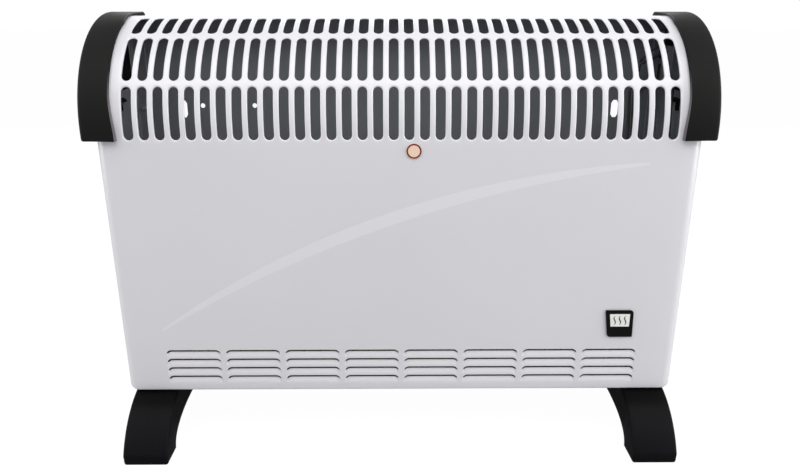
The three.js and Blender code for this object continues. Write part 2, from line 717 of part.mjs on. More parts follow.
function endCap(inCavity = []) {
  const outside = rimmedPrismAlongX(
    capOutline(0), CAP_INNER_X - CAP_EDGE_RADIUS, CAP_OUTER_X, CAP_EDGE_RADIUS, 3,
  );
  const inboard = block(
    CAP_INNER_X - 2 * CAP_EDGE_RADIUS, CAP_INNER_X,
    2 * FRONT_Y, 2 * BACK_Y,
    CAP_BOTTOM_Z - CAP_PROUD, BODY_TOP_Z + 2 * CAP_PROUD,
  );
  const cavity = prismAlongX(capOutline(CAP_WALL), BODY_HALF, CAP_OUTER_X - CAP_WALL);
  const panel = panelForm(CLEARANCE, SHELL_BACK_Y - FOLD_RADIUS, BACK_Y + CLEARANCE);
  const metal = bodyForm(-CLEARANCE, SHELL_BACK_Y).add(panel);
  const hollow = without(cavity, [capClip(), ...inCavity]);
  const holes = CAP_SCREW_PLACES.map(([x, z]) => (
    rodAlongY(x, z, BACK_Y, BACK_Y + CAP_PROUD + CUT_THROUGH, SHEET_SCREW.shank + SCREW_PLAY, 8)
  ));
  return without(outside, [inboard, metal, hollow, ...holes]).add(capClip());
}

const KNOB_Y = WELL_Y + KNOB_OFFSET_Y;
const SWITCH_Y = WELL_Y + SWITCH_OFFSET_Y;
const SWITCH_PLACES = [
  { name: 'upper', z: WELL_Z + SWITCH_PITCH / 2 },
  { name: 'lower', z: WELL_Z - SWITCH_PITCH / 2 },
];

// The right cap carries the controls in a well in its side face.
function rightEndCap() {
  const halfWidth = WELL_WIDTH / 2;
  const halfHeight = WELL_HEIGHT / 2;
  const wellOutline = (grow) => roundedRectangle(
    WELL_Y - halfWidth - grow, WELL_Y + halfWidth + grow,
    WELL_Z - halfHeight - grow, WELL_Z + halfHeight + grow,
    WELL_CORNER_RADIUS + grow, 4,
  );
  const walls = prismAlongX(wellOutline(CAP_WALL), WELL_FLOOR_X - WELL_FLOOR, CAP_OUTER_X);
  const well = prismAlongX(wellOutline(0), WELL_FLOOR_X, CAP_OUTER_X + CUT_THROUGH);
  const floorFrom = WELL_FLOOR_X - CUT_THROUGH;
  const bushingHole = rodAlongX(
    KNOB_Y, WELL_Z, floorFrom, WELL_FLOOR_X + CUT_THROUGH, BUSHING_DIAMETER + SCREW_PLAY, 16,
  );
  const switchHoles = SWITCH_PLACES.map(({ z }) => block(
    floorFrom, WELL_FLOOR_X + CUT_THROUGH,
    SWITCH_Y - SWITCH_BODY_WIDTH / 2 - CLEARANCE, SWITCH_Y + SWITCH_BODY_WIDTH / 2 + CLEARANCE,
    z - SWITCH_BODY_HEIGHT / 2 - CLEARANCE, z + SWITCH_BODY_HEIGHT / 2 + CLEARANCE,
  ));
  return without(endCap([walls]), [well, bushingHole, ...switchHoles]);
}

piece('left_end_cap', mirrored(endCap()), BLACK_PLASTIC);
piece('right_end_cap', rightEndCap(), BLACK_PLASTIC);

// ---- Thermostat ----

// In this group X runs out of the well floor, on the knob's axis.
const thermostat = new THREE.Group();
thermostat.position.set(WELL_FLOOR_X, KNOB_Y, WELL_Z);
heater.add(thermostat);

const NUT_TOP = CLEARANCE + NUT_THICKNESS;
const BUSHING_TOP = CLEARANCE + BUSHING_HEIGHT;
const KNOB_UNDERSIDE = CLEARANCE;
const KNOB_TOP = KNOB_UNDERSIDE + KNOB_HEIGHT;
const KNOB_BORE_START = BUSHING_TOP + CLEARANCE;
const SHAFT_TOP = KNOB_BORE_START + SHAFT_IN_KNOB - CLEARANCE;
const THERMOSTAT_FRONT = -WELL_FLOOR - CLEARANCE;
const SHAFT_SOCKET_END = THERMOSTAT_FRONT - SHAFT_SOCKET_DEPTH;

function thermostatBody() {
  const box = block(
    THERMOSTAT_FRONT - THERMOSTAT_DEPTH, THERMOSTAT_FRONT,
    -THERMOSTAT_WIDTH / 2, THERMOSTAT_WIDTH / 2,
    -THERMOSTAT_HEIGHT / 2, THERMOSTAT_HEIGHT / 2,
  );
  const bushing = rodAlongX(0, 0, THERMOSTAT_FRONT - SHEET, BUSHING_TOP, BUSHING_DIAMETER, 16);
  const socket = rodAlongX(
    0, 0, SHAFT_SOCKET_END, BUSHING_TOP + CUT_THROUGH, SHAFT_DIAMETER + 2 * CLEARANCE, 16,
  );
  return box.add(bushing).subtract(socket);
}

function thermostatNut() {
  const corners = NUT_ACROSS_FLATS / Math.cos(Math.PI / 6);
  const hexagon = rodAlongX(0, 0, CLEARANCE, NUT_TOP, corners, 6);
  const bore = rodAlongX(0, 0, -CUT_THROUGH, NUT_TOP + CUT_THROUGH, BUSHING_DIAMETER + SCREW_PLAY, 16);
  return hexagon.subtract(bore);
}

function thermostatKnob() {
  const corners = NUT_ACROSS_FLATS / Math.cos(Math.PI / 6);
  const skirt = rodAlongX(0, 0, KNOB_UNDERSIDE, KNOB_UNDERSIDE + KNOB_SKIRT_HEIGHT, KNOB_DIAMETER, 32);
  const grip = rodAlongX(0, 0, KNOB_UNDERSIDE, KNOB_TOP, KNOB_GRIP_DIAMETER, 24);
  const pointer = block(
    KNOB_UNDERSIDE, KNOB_TOP,
    -KNOB_POINTER_WIDTH / 2, KNOB_POINTER_WIDTH / 2,
    0, KNOB_DIAMETER / 2 - KNOB_POINTER_WIDTH / 2,
  );
  const nutRoom = rodAlongX(0, 0, -CUT_THROUGH, KNOB_BORE_START, corners + 2 * CLEARANCE + SHEET, 16);
  const bore = rodAlongX(0, 0, 0, KNOB_BORE_START + SHAFT_IN_KNOB, SHAFT_DIAMETER + 2 * CLEARANCE, 16);
  return without(joined([skirt, grip, pointer]), [nutRoom, bore]);
}

piece('thermostat_body', thermostatBody(), BRIGHT_STEEL, thermostat);
piece('thermostat_nut', thermostatNut(), BRIGHT_STEEL, thermostat);
piece(
  'thermostat_shaft',
  rodAlongX(0, 0, SHAFT_SOCKET_END + CLEARANCE, SHAFT_TOP, SHAFT_DIAMETER, 16),
  BRIGHT_STEEL,
  thermostat,
);

// At rest the pointer stands at the low end of its scale, towards seven o'clock.
const knob = piece('thermostat_knob', thermostatKnob(), BLACK_PLASTIC, thermostat);
knob.rotation.x = THREE.MathUtils.degToRad(KNOB_REST_DEGREES);

// ---- Rocker switches ----

const BEZEL_TOP = CLEARANCE + BEZEL_THICKNESS;
const ROCKER_PIVOT = CLEARANCE - ROCKER_PIVOT_DEPTH;

function switchHousing() {
  const bezel = block(
    CLEARANCE, BEZEL_TOP,
    -BEZEL_WIDTH / 2, BEZEL_WIDTH / 2,
    -BEZEL_HEIGHT / 2, BEZEL_HEIGHT / 2,
  );
  const body = block(
    CLEARANCE - SWITCH_BODY_DEPTH, BEZEL_TOP,
    -SWITCH_BODY_WIDTH / 2, SWITCH_BODY_WIDTH / 2,
    -SWITCH_BODY_HEIGHT / 2, SWITCH_BODY_HEIGHT / 2,
  );
  const cornerReach = Math.hypot(ROCKER_LENGTH / 2, ROCKER_EAR_HEIGHT);
  const pocketHalf = cornerReach + CLEARANCE;
  const pocket = block(
    BEZEL_TOP - SWITCH_POCKET_DEPTH, BEZEL_TOP + CUT_THROUGH,
    -SWITCH_POCKET_WIDTH / 2, SWITCH_POCKET_WIDTH / 2,
    -pocketHalf, pocketHalf,
  );
  const sockets = prismAlongY(
    circle(ROCKER_PIVOT, 0, ROCKER_PIN_DIAMETER + 2 * CLEARANCE, 12),
    -SWITCH_BODY_WIDTH, SWITCH_BODY_WIDTH,
  );
  return without(bezel.add(body), [pocket, sockets]);
}

// The rocker about its pivot, level. Its face is a shallow V with a raised ear at each end.
function rocker() {
  const half = ROCKER_LENGTH / 2;
  const belly = ROCKER_PIN_DIAMETER;
  const outline = new THREE.Shape([
    new THREE.Vector2(ROCKER_EAR_HEIGHT, half),
    new THREE.Vector2(ROCKER_MIDDLE_HEIGHT, 0),
    new THREE.Vector2(ROCKER_EAR_HEIGHT, -half),
    new THREE.Vector2(ROCKER_PIN_DIAMETER / 2, -half),
    new THREE.Vector2(-belly, -half / 3),
    new THREE.Vector2(-belly, half / 3),
    new THREE.Vector2(ROCKER_PIN_DIAMETER / 2, half),
  ]);
  const halfWidth = SWITCH_POCKET_WIDTH / 2 - CLEARANCE;
  const pinHalf = SWITCH_BODY_WIDTH / 2 - CLEARANCE;
  const pin = prismAlongY(circle(0, 0, ROCKER_PIN_DIAMETER, 12), -pinHalf, pinHalf);
  return prismAlongY(outline, -halfWidth, halfWidth).add(pin);
}

// At rest each switch is off: the lower end of its rocker is pressed in.
SWITCH_PLACES.forEach(({ name, z }) => {
  const group = new THREE.Group();
  group.position.set(WELL_FLOOR_X, SWITCH_Y, z);
  heater.add(group);
  piece(`${name}_switch_housing`, switchHousing(), BLACK_GLOSS, group);
  const cap = piece(`${name}_switch_rocker`, rocker(), BLACK_GLOSS, group);
  cap.position.x = ROCKER_PIVOT;
  cap.rotation.y = THREE.MathUtils.degToRad(ROCKER_TILT_DEGREES);
});

// ---- Heating element ----

const BOARD_BOTTOM_Z = ON_PLATE_Z + BOARD_ABOVE_PLATE;
const BOARD_TOP_Z = BOARD_BOTTOM_Z + BOARD_HEIGHT;
const BRACKET_TOP_Z = ON_PLATE_Z + BRACKET_HEIGHT;
const BOARDS = [
  { name: 'front', y: ELEMENT_Y - BOARD_SPACING / 2, outward: -1 },
  { name: 'rear', y: ELEMENT_Y + BOARD_SPACING / 2, outward: 1 },
];
const WIRE_OFFSET = BOARD_THICKNESS / 2 + CLEARANCE + WIRE_THICKNESS / 2;
const NOTCH_HALF = WIRE_OFFSET + WIRE_THICKNESS / 2 + CLEARANCE;

// A bracket is an angle of sheet: its base is screwed down, and the boards stand in its notches.
function elementBracket(x, baseSide) {
  const front = ELEMENT_Y - BRACKET_WIDTH / 2;
  const back = ELEMENT_Y + BRACKET_WIDTH / 2;
  const half = BRACKET_SHEET / 2;
  const upright = block(x - half, x + half, front, back, ON_PLATE_Z, BRACKET_TOP_Z);
  const reach = x + baseSide * BRACKET_BASE;
  const [from, to] = [Math.min(x, reach), Math.max(x, reach)];
  const base = block(from, to, front, back, ON_PLATE_Z, ON_PLATE_Z + BRACKET_SHEET);
  const notches = BOARDS.map(({ y }) => block(
    x - BRACKET_BASE, x + BRACKET_BASE,
    y - NOTCH_HALF, y + NOTCH_HALF,
    BOARD_BOTTOM_Z - CLEARANCE, BRACKET_TOP_Z + CUT_THROUGH,
  ));
  return without(upright.add(base), [...notches, ...screwHolesInPlate()]);
}

const WIRE_END_X = BOARD_LENGTH / 2 + WIRE_TAIL;

// The resistance ribbon runs up and down one face of its board, and its tail leaves on the right.
function heatingWire(y) {
  const low = BOARD_BOTTOM_Z + WIRE_MARGIN;
  const high = BOARD_TOP_Z - WIRE_MARGIN;
  const runs = 2 * WIRE_LOOPS;
  const pitch = WIRE_SPAN / runs;
  const upper = [];
  const lower = [];
  for (let i = 0; i < runs; i += 1) {
    const left = -WIRE_SPAN / 2 + i * pitch;
    const right = left + pitch;
    const rising = i % 2 === 0;
    const inner = rising ? high - WIRE_WIDTH : low + WIRE_WIDTH;
    const outer = rising ? high : low;
    const nearEdge = rising ? upper : lower;
    const farEdge = rising ? lower : upper;
    nearEdge.push(new THREE.Vector2(left, outer), new THREE.Vector2(right + WIRE_WIDTH, outer));
    farEdge.push(new THREE.Vector2(left + WIRE_WIDTH, inner), new THREE.Vector2(right, inner));
  }
  const end = WIRE_END_X;
  const first = new THREE.Vector2(-WIRE_SPAN / 2, low);
  const firstInner = new THREE.Vector2(-WIRE_SPAN / 2 + WIRE_WIDTH, low);
  const tail = [new THREE.Vector2(end, low), new THREE.Vector2(end, low + WIRE_WIDTH)];
  lower.pop();
  const outline = [first, firstInner, ...lower, ...tail, ...upper.reverse()];
  return prismAlongY(new THREE.Shape(outline), y - WIRE_THICKNESS / 2, y + WIRE_THICKNESS / 2);
}

BOARDS.forEach(({ name, y, outward }) => {
  const board = block(
    -BOARD_LENGTH / 2, BOARD_LENGTH / 2,
    y - BOARD_THICKNESS / 2, y + BOARD_THICKNESS / 2,
    BOARD_BOTTOM_Z, BOARD_TOP_Z,
  );
  piece(`${name}_mica_board`, board, MICA);
  piece(`${name}_heating_wire`, heatingWire(y + outward * WIRE_OFFSET), HEATING_ALLOY);
});

BRACKET_PLACES.forEach(({ name, x, baseSide }) => {
  piece(`${name}_element_bracket`, elementBracket(x, baseSide), BRIGHT_STEEL);
});

// A bimetal cut-out on the inner face of the right bracket, above the boards.
const cutout = piece('thermal_cutout', turned([
  [0, 0],
  [CUTOUT_DIAMETER / 2, 0],
  [CUTOUT_DIAMETER / 2, CUTOUT_LENGTH / 2],
  [CUTOUT_NECK_DIAMETER / 2, CUTOUT_LENGTH / 2],
  [CUTOUT_NECK_DIAMETER / 2, CUTOUT_LENGTH],
  [0, CUTOUT_LENGTH],
], 16), BRIGHT_STEEL);
cutout.position.set(
  BRACKET_X - BRACKET_SHEET / 2 - CLEARANCE,
  ELEMENT_Y,
  BRACKET_TOP_Z - CUTOUT_BELOW_TOP,
);
cutout.rotation.y = -QUARTER;

// ---- Heat shield ----

function heatShield() {
  const low = ON_PLATE_Z;
  const angle = new THREE.Shape([
    new THREE.Vector2(SHIELD_Y - SHIELD_FLANGE, low),
    new THREE.Vector2(SHIELD_Y, low),
    new THREE.Vector2(SHIELD_Y, low + SHIELD_HEIGHT),
    new THREE.Vector2(SHIELD_Y - SHEET, low + SHIELD_HEIGHT),
    new THREE.Vector2(SHIELD_Y - SHEET, low + SHEET),
    new THREE.Vector2(SHIELD_Y - SHIELD_FLANGE, low + SHEET),
  ]);
  const sheet = prismAlongX(angle, -SHIELD_LENGTH / 2, SHIELD_LENGTH / 2);
  return without(sheet, screwHolesInPlate());
}

piece('heat_shield', heatShield(), BRIGHT_STEEL);

// ---- Mains inlet and wiring ----

// The gland snaps into the rear panel: a flange outside, a lip inside and a bore for the cord.
function cordGland() {
  const bore = GLAND_BORE / 2;
  const neck = GLAND_HOLE / 2 - CLEARANCE;
  const lipTop = -SHEET - CLEARANCE;
  return turned([
    [bore, lipTop - GLAND_LIP_LENGTH],
    [neck, lipTop - GLAND_LIP_LENGTH],
    [GLAND_LIP_DIAMETER / 2, lipTop],
    [neck, lipTop],
    [neck, CLEARANCE],
    [GLAND_FLANGE / 2, CLEARANCE],
    [GLAND_FLANGE / 2, CLEARANCE + GLAND_FLANGE_THICKNESS],
    [bore, CLEARANCE + GLAND_FLANGE_THICKNESS],
    [bore, lipTop - GLAND_LIP_LENGTH],
  ], 16);
}

const gland = piece('cord_gland', cordGland(), BLACK_PLASTIC);
gland.position.set(GLAND_X, BACK_Y, GLAND_Z);
gland.rotation.x = -QUARTER;

const TERMINAL_TOP_Z = ON_PLATE_Z + TERMINAL_HEIGHT;
const TERMINALS_Y = spread(3, TERMINAL_PITCH).map((y) => TERMINAL_Y + y);

function terminalBlock() {
  const body = block(
    TERMINAL_X - TERMINAL_WIDTH / 2, TERMINAL_X + TERMINAL_WIDTH / 2,
    TERMINAL_Y - TERMINAL_LENGTH / 2, TERMINAL_Y + TERMINAL_LENGTH / 2,
    ON_PLATE_Z, TERMINAL_TOP_Z,
  );
  const screwWells = TERMINALS_Y.map((y) => rodAlongZ(
    TERMINAL_X - TERMINAL_WIDTH / 4, y,
    TERMINAL_TOP_Z - TERMINAL_HOLE_DEPTH, TERMINAL_TOP_Z + CUT_THROUGH, TERMINAL_HOLE, 8,
  ));
  return without(body, screwWells);
}

piece('terminal_block', terminalBlock(), CREAM_CERAMIC);

// A sleeved lead along a smooth curve through its points.
function lead(name, points, finish) {
  const curve = new THREE.CatmullRomCurve3(points.map(([x, y, z]) => new THREE.Vector3(x, y, z)));
  const section = circle(0, 0, LEAD_DIAMETER, 8);
  const settings = { steps: LEAD_STEPS, extrudePath: curve, bevelEnabled: false };
  piece(name, solidOf(new THREE.ExtrudeGeometry(section, settings)), finish);
}

const LEAD_START_Z = TERMINAL_TOP_Z + CLEARANCE;
const LEAD_START_X = TERMINAL_X + TERMINAL_WIDTH / 4;
const SWITCH_BACK_X = WELL_FLOOR_X + CLEARANCE - SWITCH_BODY_DEPTH - CLEARANCE;
const [UPPER_SWITCH, LOWER_SWITCH] = SWITCH_PLACES;

// Up from the terminal block, then out to the back of a switch.
function supplyRoute(y, z) {
  const turn = SWITCH_BACK_X - LEAD_BEND;
  return [
    [LEAD_START_X, y, LEAD_START_Z],
    [LEAD_START_X, y, LEAD_START_Z + LEAD_BEND],
    [turn, SWITCH_Y, z - 4 * LEAD_BEND],
    [turn, SWITCH_Y, z - LEAD_BEND],
    [turn + LEAD_BEND / 3, SWITCH_Y, z - LEAD_BEND / 3],
    [SWITCH_BACK_X - LEAD_BEND / 3, SWITCH_Y, z],
    [SWITCH_BACK_X, SWITCH_Y, z],
  ];
}

const [THERMOSTAT_TERMINAL_Y, SUPPLY_TERMINAL_Y] = TERMINALS_Y;
const THERMOSTAT_LANE_X = WELL_FLOOR_X - LEAD_BEND / 2;
lead('upper_supply_lead', supplyRoute(SUPPLY_TERMINAL_Y, UPPER_SWITCH.z + SWITCH_TERMINAL), LEAD_SLEEVE);
lead('thermostat_lead', [
  [LEAD_START_X, THERMOSTAT_TERMINAL_Y, LEAD_START_Z],
  [LEAD_START_X, THERMOSTAT_TERMINAL_Y, LEAD_START_Z + LEAD_BEND / 2],
  [THERMOSTAT_LANE_X, THERMOSTAT_TERMINAL_Y, LEAD_START_Z + 2 * LEAD_BEND],
  [THERMOSTAT_LANE_X, KNOB_Y, WELL_Z - 2 * LEAD_BEND],
  [THERMOSTAT_LANE_X, KNOB_Y, WELL_Z - THERMOSTAT_HEIGHT / 2 - CLEARANCE],
], LEAD_SLEEVE);

// From the tail of a heating ribbon to the back of its switch.
function elementRoute(boardY, lane, z) {
  const start = WIRE_END_X + CLEARANCE;
  const low = BOARD_BOTTOM_Z + WIRE_MARGIN + WIRE_WIDTH / 2;
  return [
    [start, boardY, low],
    [start + LEAD_BEND / 4, boardY, low],
    [lane, boardY, low + LEAD_BEND],
    [lane, SWITCH_Y - LEAD_BEND / 2, z - 3 * LEAD_BEND],
    [lane, SWITCH_Y - LEAD_BEND / 2, z - LEAD_BEND],
    [SWITCH_BACK_X - LEAD_BEND / 2, SWITCH_Y, z],
    [SWITCH_BACK_X, SWITCH_Y, z],
  ];
}

const [FRONT_BOARD, REAR_BOARD] = BOARDS;
const FRONT_LANE_X = WIRE_END_X + LEAD_BEND / 2;
const REAR_LANE_X = FRONT_LANE_X + 2 * LEAD_DIAMETER;
lead(
  'front_element_lead',
  elementRoute(FRONT_BOARD.y - WIRE_OFFSET, FRONT_LANE_X, UPPER_SWITCH.z - SWITCH_TERMINAL),
  LEAD_SLEEVE,
);
lead(
  'rear_element_lead',
  elementRoute(REAR_BOARD.y + WIRE_OFFSET, REAR_LANE_X, LOWER_SWITCH.z - SWITCH_TERMINAL),
  LEAD_SLEEVE,
);

// ---- Feet ----

// Half of the foot's side outline is drawn from its nose to the middle, and the other half mirrored.
function footOutline() {
  const nose = new THREE.Vector2(-FOOT_LENGTH / 2, FOOT_NOSE_HEIGHT);
  const shoulder = new THREE.Vector2(-FOOT_TOP_LENGTH / 2, FOOT_HEIGHT);
  const chord = nose.distanceTo(shoulder);
  const bulge = FOOT_SHOULDER_BULGE;
  const radius = (chord * chord) / (8 * bulge) + bulge / 2;
  const along = shoulder.clone().sub(nose).normalize();
  const outward = new THREE.Vector2(-along.y, along.x);
  const middle = nose.clone().add(shoulder).multiplyScalar(0.5);
  const centre = middle.addScaledVector(outward, bulge - radius);
  const from = THREE.MathUtils.radToDeg(nose.clone().sub(centre).angle());
  const to = THREE.MathUtils.radToDeg(shoulder.clone().sub(centre).angle());
  const shoulderArc = arcPoints(centre.x, centre.y, radius, from, to, 6);
  const toe = new THREE.Vector2(-FOOT_LENGTH / 2 + FOOT_TOE_SETBACK, 0);
  const archHalf = FOOT_LENGTH / 2 - FOOT_PAD_LENGTH;
  const arch = [];
  const steps = 8;
  for (let i = 0; i < steps; i += 1) {
    const angle = (QUARTER * i) / steps;
    const y = -archHalf * Math.cos(angle) ** (2 / FOOT_ARCH_SQUARENESS);
    const z = FOOT_ARCH_HEIGHT * Math.sin(angle) ** (2 / FOOT_ARCH_SQUARENESS);
    arch.push(new THREE.Vector2(y, z));
  }
  const half = [...arch.reverse(), toe, ...shoulderArc];
  const otherHalf = half.map((point) => new THREE.Vector2(-point.x, point.y)).reverse();
  return new THREE.Shape([...half, ...otherHalf]);
}

// A moulding that is cored out from its hidden top, with a boss for each screw.
function foot() {
  const half = FOOT_WIDTH / 2;
  const form = rimmedPrismAlongX(footOutline(), FOOT_X - half, FOOT_X + half, FOOT_EDGE_RADIUS, 2);
  const floor = FOOT_ARCH_HEIGHT + FOOT_WALL;
  const core = block(
    FOOT_X - half + FOOT_WALL, FOOT_X + half - FOOT_WALL,
    -FOOT_POCKET_LENGTH / 2, FOOT_POCKET_LENGTH / 2,
    floor, FOOT_HEIGHT + CUT_THROUGH,
  );
  const seat = FOOT_ARCH_HEIGHT + FOOT_SCREW_SEAT;
  const ends = [-FOOT_SCREW_SPACING / 2, FOOT_SCREW_SPACING / 2];
  const bosses = ends.map((y) => rodAlongZ(FOOT_X, y, 0, FOOT_HEIGHT + CUT_THROUGH, FOOT_BOSS_DIAMETER));
  const holes = ends.map((y) => (
    rodAlongZ(FOOT_X, y, 0, FOOT_HEIGHT + CUT_THROUGH, FOOT_SCREW_SHANK + SCREW_PLAY, 8)
  ));
  const recesses = ends.map((y) => rodAlongZ(FOOT_X, y, 0, seat, FOOT_SCREW_HEAD + SCREW_PLAY + SHEET));
  return without(form, [without(core, bosses), ...holes, ...recesses]);
}

piece('left_foot', mirrored(foot()), BLACK_PLASTIC);
piece('right_foot', foot(), BLACK_PLASTIC);

// ---- Trim ----

function badge() {
  const z = BODY_BOTTOM_Z + BADGE_ABOVE_BOTTOM;
  const radii = [BADGE_LARGE_RADIUS, BADGE_SMALL_RADIUS, BADGE_LARGE_RADIUS, BADGE_SMALL_RADIUS];
  const shape = roundedRectangle(
    BADGE_X - BADGE_WIDTH / 2, BADGE_X + BADGE_WIDTH / 2,
    z - BADGE_HEIGHT / 2, z + BADGE_HEIGHT / 2,
    radii,
  );
  const back = FRONT_Y - CLEARANCE;
  return prismAlongY(shape, back - BADGE_THICKNESS, back);
}

function ringSticker() {
  const back = FRONT_Y - CLEARANCE;
  const z = CURVE_Z - STICKER_BELOW_CURVE;
  return rodAlongY(STICKER_X, z, back - STICKER_THICKNESS, back, STICKER_DIAMETER, 24);
}

piece('badge_plate', badge(), BLACK_GLOSS);
piece('ring_sticker', ringSticker(), RED_PRINT);

// ---- Screws ----

// A pan head screw along Z, with its head above zero.
function panScrew({ head, headHeight, shank, length }) {
  return turned([
    [0, -length],
    [shank / 2, -length],
    [shank / 2, 0],
    [head / 2, 0],
    [head / 2, headHeight / 2],
    [head / 3, headHeight],
    [0, headHeight],
  ], 8);
}

function screw(name, size, x, y, z, turn) {
  const mesh = piece(name, panScrew(size), BRIGHT_STEEL);
  mesh.position.set(x, y, z);
  mesh.rotation.x = turn;
}

REAR_SCREW_PLACES.forEach(([x, z], i) => {
  screw(`rear_screw_${i + 1}`, SHEET_SCREW, x, BACK_Y + CLEARANCE, z, -QUARTER);
});

CAP_SCREW_PLACES.forEach(([x, z], i) => {
  screw(`cap_screw_${i + 1}`, SHEET_SCREW, x, BACK_Y + CAP_PROUD + CLEARANCE, z, -QUARTER);
});

// These end flush with the underside of the plate.
PLATE_SCREW_PLACES.forEach(({ name, x, y, seat }) => {
  const length = seat + SHEET + 2 * CLEARANCE;
  screw(name, { ...PLATE_SCREW, length }, x, y, ON_PLATE_Z + seat + CLEARANCE, 0);
});

const FOOT_SCREW_SEAT_Z = FOOT_ARCH_HEIGHT + FOOT_SCREW_SEAT - CLEARANCE;
const FOOT_SCREW = {
  head: FOOT_SCREW_HEAD,
  headHeight: FOOT_SCREW_HEAD_HEIGHT,
  shank: FOOT_SCREW_SHANK,
  length: PLATE_TOP_Z - FOOT_SCREW_SEAT_Z + FOOT_SCREW_GRIP,
};
FOOT_SCREW_PLACES.forEach(([x, y], i) => {
  screw(`foot_screw_${i + 1}`, FOOT_SCREW, x, y, FOOT_SCREW_SEAT_Z, 2 * QUARTER);
});

export default heater;
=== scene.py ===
from math import atan, atan2, cos, degrees, pi, radians, sin

import bmesh
import bpy
from mathutils import Matrix, Vector
from mathutils.geometry import tessellate_polygon


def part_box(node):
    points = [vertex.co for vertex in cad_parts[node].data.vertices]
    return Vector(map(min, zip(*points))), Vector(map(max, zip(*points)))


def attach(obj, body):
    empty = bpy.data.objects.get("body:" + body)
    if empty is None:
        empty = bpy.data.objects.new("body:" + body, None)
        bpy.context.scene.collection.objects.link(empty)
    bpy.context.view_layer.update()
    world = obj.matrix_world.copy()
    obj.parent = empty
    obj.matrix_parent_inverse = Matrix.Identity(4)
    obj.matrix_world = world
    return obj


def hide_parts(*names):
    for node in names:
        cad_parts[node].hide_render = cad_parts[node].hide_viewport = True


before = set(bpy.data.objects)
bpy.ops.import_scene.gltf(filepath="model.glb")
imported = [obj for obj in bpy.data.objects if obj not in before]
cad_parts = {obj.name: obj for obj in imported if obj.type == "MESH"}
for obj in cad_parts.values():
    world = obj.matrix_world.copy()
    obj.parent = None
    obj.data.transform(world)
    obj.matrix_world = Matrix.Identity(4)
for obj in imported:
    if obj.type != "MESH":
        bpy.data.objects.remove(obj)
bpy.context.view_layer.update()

# ---- The photographer's place ----
# The camera stands a little over half a metre in front of the heater, looks down on it by eighteen
# degrees and is turned a little to the right.

CAMERA_PLACE = (-0.0041, -0.6195, 0.3889)
CAMERA_DOWN = radians(18.14)
CAMERA_TURN = radians(-0.43)
FILM_MM = 36
LENS_MM = 30.6
LENS_SHIFT = (-0.00075, 0.0031)
NEAREST_SEEN = 0.01

lens = bpy.data.cameras.new("camera")
lens.lens = LENS_MM
lens.sensor_width = FILM_MM
lens.clip_start = NEAREST_SEEN
lens.shift_x, lens.shift_y = LENS_SHIFT
camera = bpy.data.objects.new("camera", lens)
camera.location = CAMERA_PLACE
camera.rotation_euler = (pi / 2 - CAMERA_DOWN, 0, CAMERA_TURN)
bpy.context.scene.collection.objects.link(camera)
bpy.context.scene.camera = camera
bpy.context.scene.view_settings.view_transform = "Standard"

# ---- The studio: a white floor, a white surround and four soft lamps ----
# The surround is white to look at and in reflections, and lights the heater less than half as much.
# The floor is white paper that still takes the heater's shadow.

SURROUND_LIGHT = 0.40
FLOOR_SIZE = 30.0
FLOOR_GLOW = 0.84
GLOW_STRENGTH = 1.14
WHITE = (1, 1, 1, 1)
PAPER_TONE = (0.45, 0.45, 0.455, 1)
LAMPS = {
    "overhead_lamp": ((0, -0.6, 1.2), (0, 0, 0.25), (1.6, 0.8), 9.7),
    "right_lamp": ((1.5, -0.4, 0.6), (0.1, 0, 0.3), (0.9, 1.2), 18),
    "left_lamp": ((-1.5, -0.3, 0.6), (-0.1, 0, 0.3), (0.9, 1.2), 12),
    "back_lamp": ((0, 1.6, 0.8), (0, 0, 0.2), (1.6, 1.0), 14),
}


def srgb(red, green, blue):
    """A colour as written for a screen, 0 to 255, as the numbers that the shaders work in."""
    shares = [value / 255 for value in (red, green, blue)]
    linear = [s / 12.92 if s <= 0.04045 else ((s + 0.055) / 1.055) ** 2.4 for s in shares]
    return (*linear, 1.0)


class Wire:
    """One socket of a node tree. Sums and products of wires add Math nodes to the tree."""

    def __init__(self, tree, socket=None):
        self.tree = tree
        self.socket = socket

    def node(self, kind, settings=None, sockets=None, out=0):
        """The chosen output of a new node, made with these settings and values or links."""
        made = self.tree.nodes.new(kind)
        for name, value in (settings or {}).items():
            setattr(made, name, value)
        for name, value in (sockets or {}).items():
            if isinstance(value, Wire):
                self.tree.links.new(value.socket, made.inputs[name])
            else:
                made.inputs[name].default_value = value
        return Wire(self.tree, made.outputs[out])

    def maths(self, operation, first, second):
        return self.node("ShaderNodeMath", {"operation": operation}, {0: first, 1: second})

    def __add__(self, other):
        return self.maths("ADD", self, other)

    def __radd__(self, other):
        return self.maths("ADD", other, self)

    def __sub__(self, other):
        return self.maths("SUBTRACT", self, other)

    def __mul__(self, other):
        return self.maths("MULTIPLY", self, other)

    def __rmul__(self, other):
        return self.maths("MULTIPLY", other, self)


def sees_surround(wires):
    """1 for a ray that looks at the surround or reflects it, and 0 for one that lights a surface."""
    path = "ShaderNodeLightPath"
    seen = wires.node(path, out="Is Camera Ray") + wires.node(path, out="Is Glossy Ray")
    seen = seen + wires.node(path, out="Is Transmission Ray")
    return wires.node("ShaderNodeClamp", sockets={"Value": seen})


world = bpy.data.worlds.new("surround")
world.use_nodes = True
bpy.context.scene.world = world
sky = Wire(world.node_tree)
seen_strength = SURROUND_LIGHT + (1 - SURROUND_LIGHT) * sees_surround(sky)
world.node_tree.links.new(seen_strength.socket, world.node_tree.nodes["Background"].inputs["Strength"])
world.node_tree.nodes["Background"].inputs["Color"].default_value = WHITE

